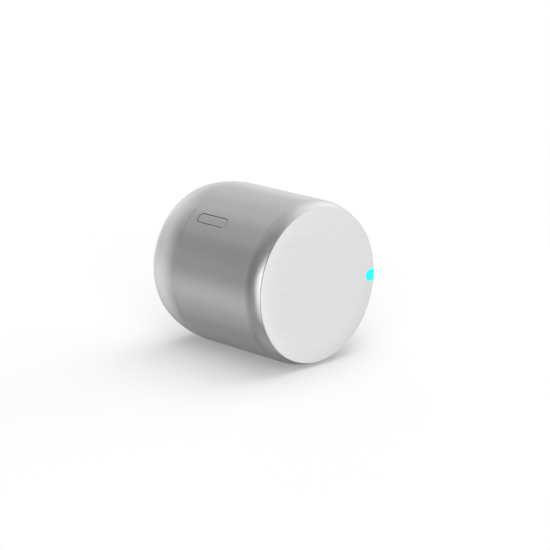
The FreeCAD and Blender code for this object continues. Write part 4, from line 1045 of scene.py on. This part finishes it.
class SMARTLOCK_OT_charging_port(bpy.types.Operator):
    """Shape the charging insert on the hidden side and its two rounded pins"""
    bl_idname = "smartlock.charging_port"
    bl_label = "Charging port"

    def execute(self, context):
        size = context.scene.lock_sizes
        angle = size.button_angle + math.pi
        outward = Vector((math.cos(angle), 0, math.sin(angle)))
        face = size.body_radius - size.button_sink
        inner = size.body_radius - size.sleeve_wall
        plug_base, soft = inner - 0.5 * MM, 0.15 * MM
        pin_base, pin_tip, pin_soft = inner - 0.9 * MM, size.body_radius - 0.2 * MM, 0.3 * MM
        plug = rounded_plug(size.contact_width - 2 * PLAY, size.contact_length - 2 * PLAY,
                            size.contact_corner - PLAY, plug_base, face, face, soft)
        insert = new_object(set_on_sleeve(plug, angle, size.contact_height), "contact_insert")
        spots = [(0, -size.contact_height + side * size.contact_length / 4, 0)
                 for side in (-1, 1)]
        combine(insert, rods(size.contact_pin + PLAY / 2, inner - 2 * OVERCUT,
                             face + OVERCUT, spots, outward))
        dress(insert, "knob", "black_plastic", ["charge_insert"])
        mesh = bmesh.new()
        for spot in spots:
            rod(mesh, size.contact_pin, pin_base, pin_tip, outward, spot)
        edges = [edge for edge in mesh.edges
                 if all(abs(end.co.dot(outward) - pin_tip) < WELD for end in edge.verts)]
        round_off(mesh, edges, pin_soft, PIN_STEPS, "EDGES")
        pins = new_object(mesh, "contact_pins")
        dress(pins, "knob", "brass", ["charge_pins"])
        return {"FINISHED"}


class SMARTLOCK_OT_node_finishes(bpy.types.Operator):
    """Give every piece of the frame that stays its finish"""
    bl_idname = "smartlock.node_finishes"
    bl_label = "Frame finishes"

    def execute(self, context):
        for part in frame["record"]["subparts"]:
            item = frame["nodes"][part["node"]]
            for place in item.material_slots:
                place.material = finish_of(part["material_slot"])
        return {"FINISHED"}


class SMARTLOCK_PT_tools(bpy.types.Panel):
    """The smart lock's tools, in the order in which they run"""
    bl_idname = "SMARTLOCK_PT_tools"
    bl_label = "Smart Lock"
    bl_space_type = "VIEW_3D"
    bl_region_type = "UI"
    bl_category = "Smart Lock"

    def draw(self, context):
        for tool in TOOLS:
            self.layout.operator(tool.bl_idname)


TOOLS = (
    SMARTLOCK_OT_stage,
    SMARTLOCK_OT_sleeve,
    SMARTLOCK_OT_collar,
    SMARTLOCK_OT_door_pad,
    SMARTLOCK_OT_adapter,
    SMARTLOCK_OT_coupling,
    SMARTLOCK_OT_front_disc,
    SMARTLOCK_OT_status_light,
    SMARTLOCK_OT_button,
    SMARTLOCK_OT_charging_port,
    SMARTLOCK_OT_node_finishes,
)
for tool_class in TOOLS:
    tool_class.bl_options = {"REGISTER", "UNDO"}
CLASSES = (LockSizes, MountSizes, LockFinish, StudioSettings, *TOOLS, SMARTLOCK_PT_tools)


def register():
    for item in CLASSES:
        bpy.utils.register_class(item)
    bpy.types.Scene.lock_sizes = bpy.props.PointerProperty(type=LockSizes)
    bpy.types.Scene.mount_sizes = bpy.props.PointerProperty(type=MountSizes)
    bpy.types.Scene.lock_finish = bpy.props.PointerProperty(type=LockFinish)
    bpy.types.Scene.lock_studio = bpy.props.PointerProperty(type=StudioSettings)


def unregister():
    del bpy.types.Scene.lock_studio
    del bpy.types.Scene.lock_finish
    del bpy.types.Scene.mount_sizes
    del bpy.types.Scene.lock_sizes
    for item in reversed(CLASSES):
        bpy.utils.unregister_class(item)


def main():
    register()
    for tool in TOOLS:
        getattr(bpy.ops.smartlock, tool.bl_idname.partition(".")[2])()


if __name__ == "__main__":
    main()
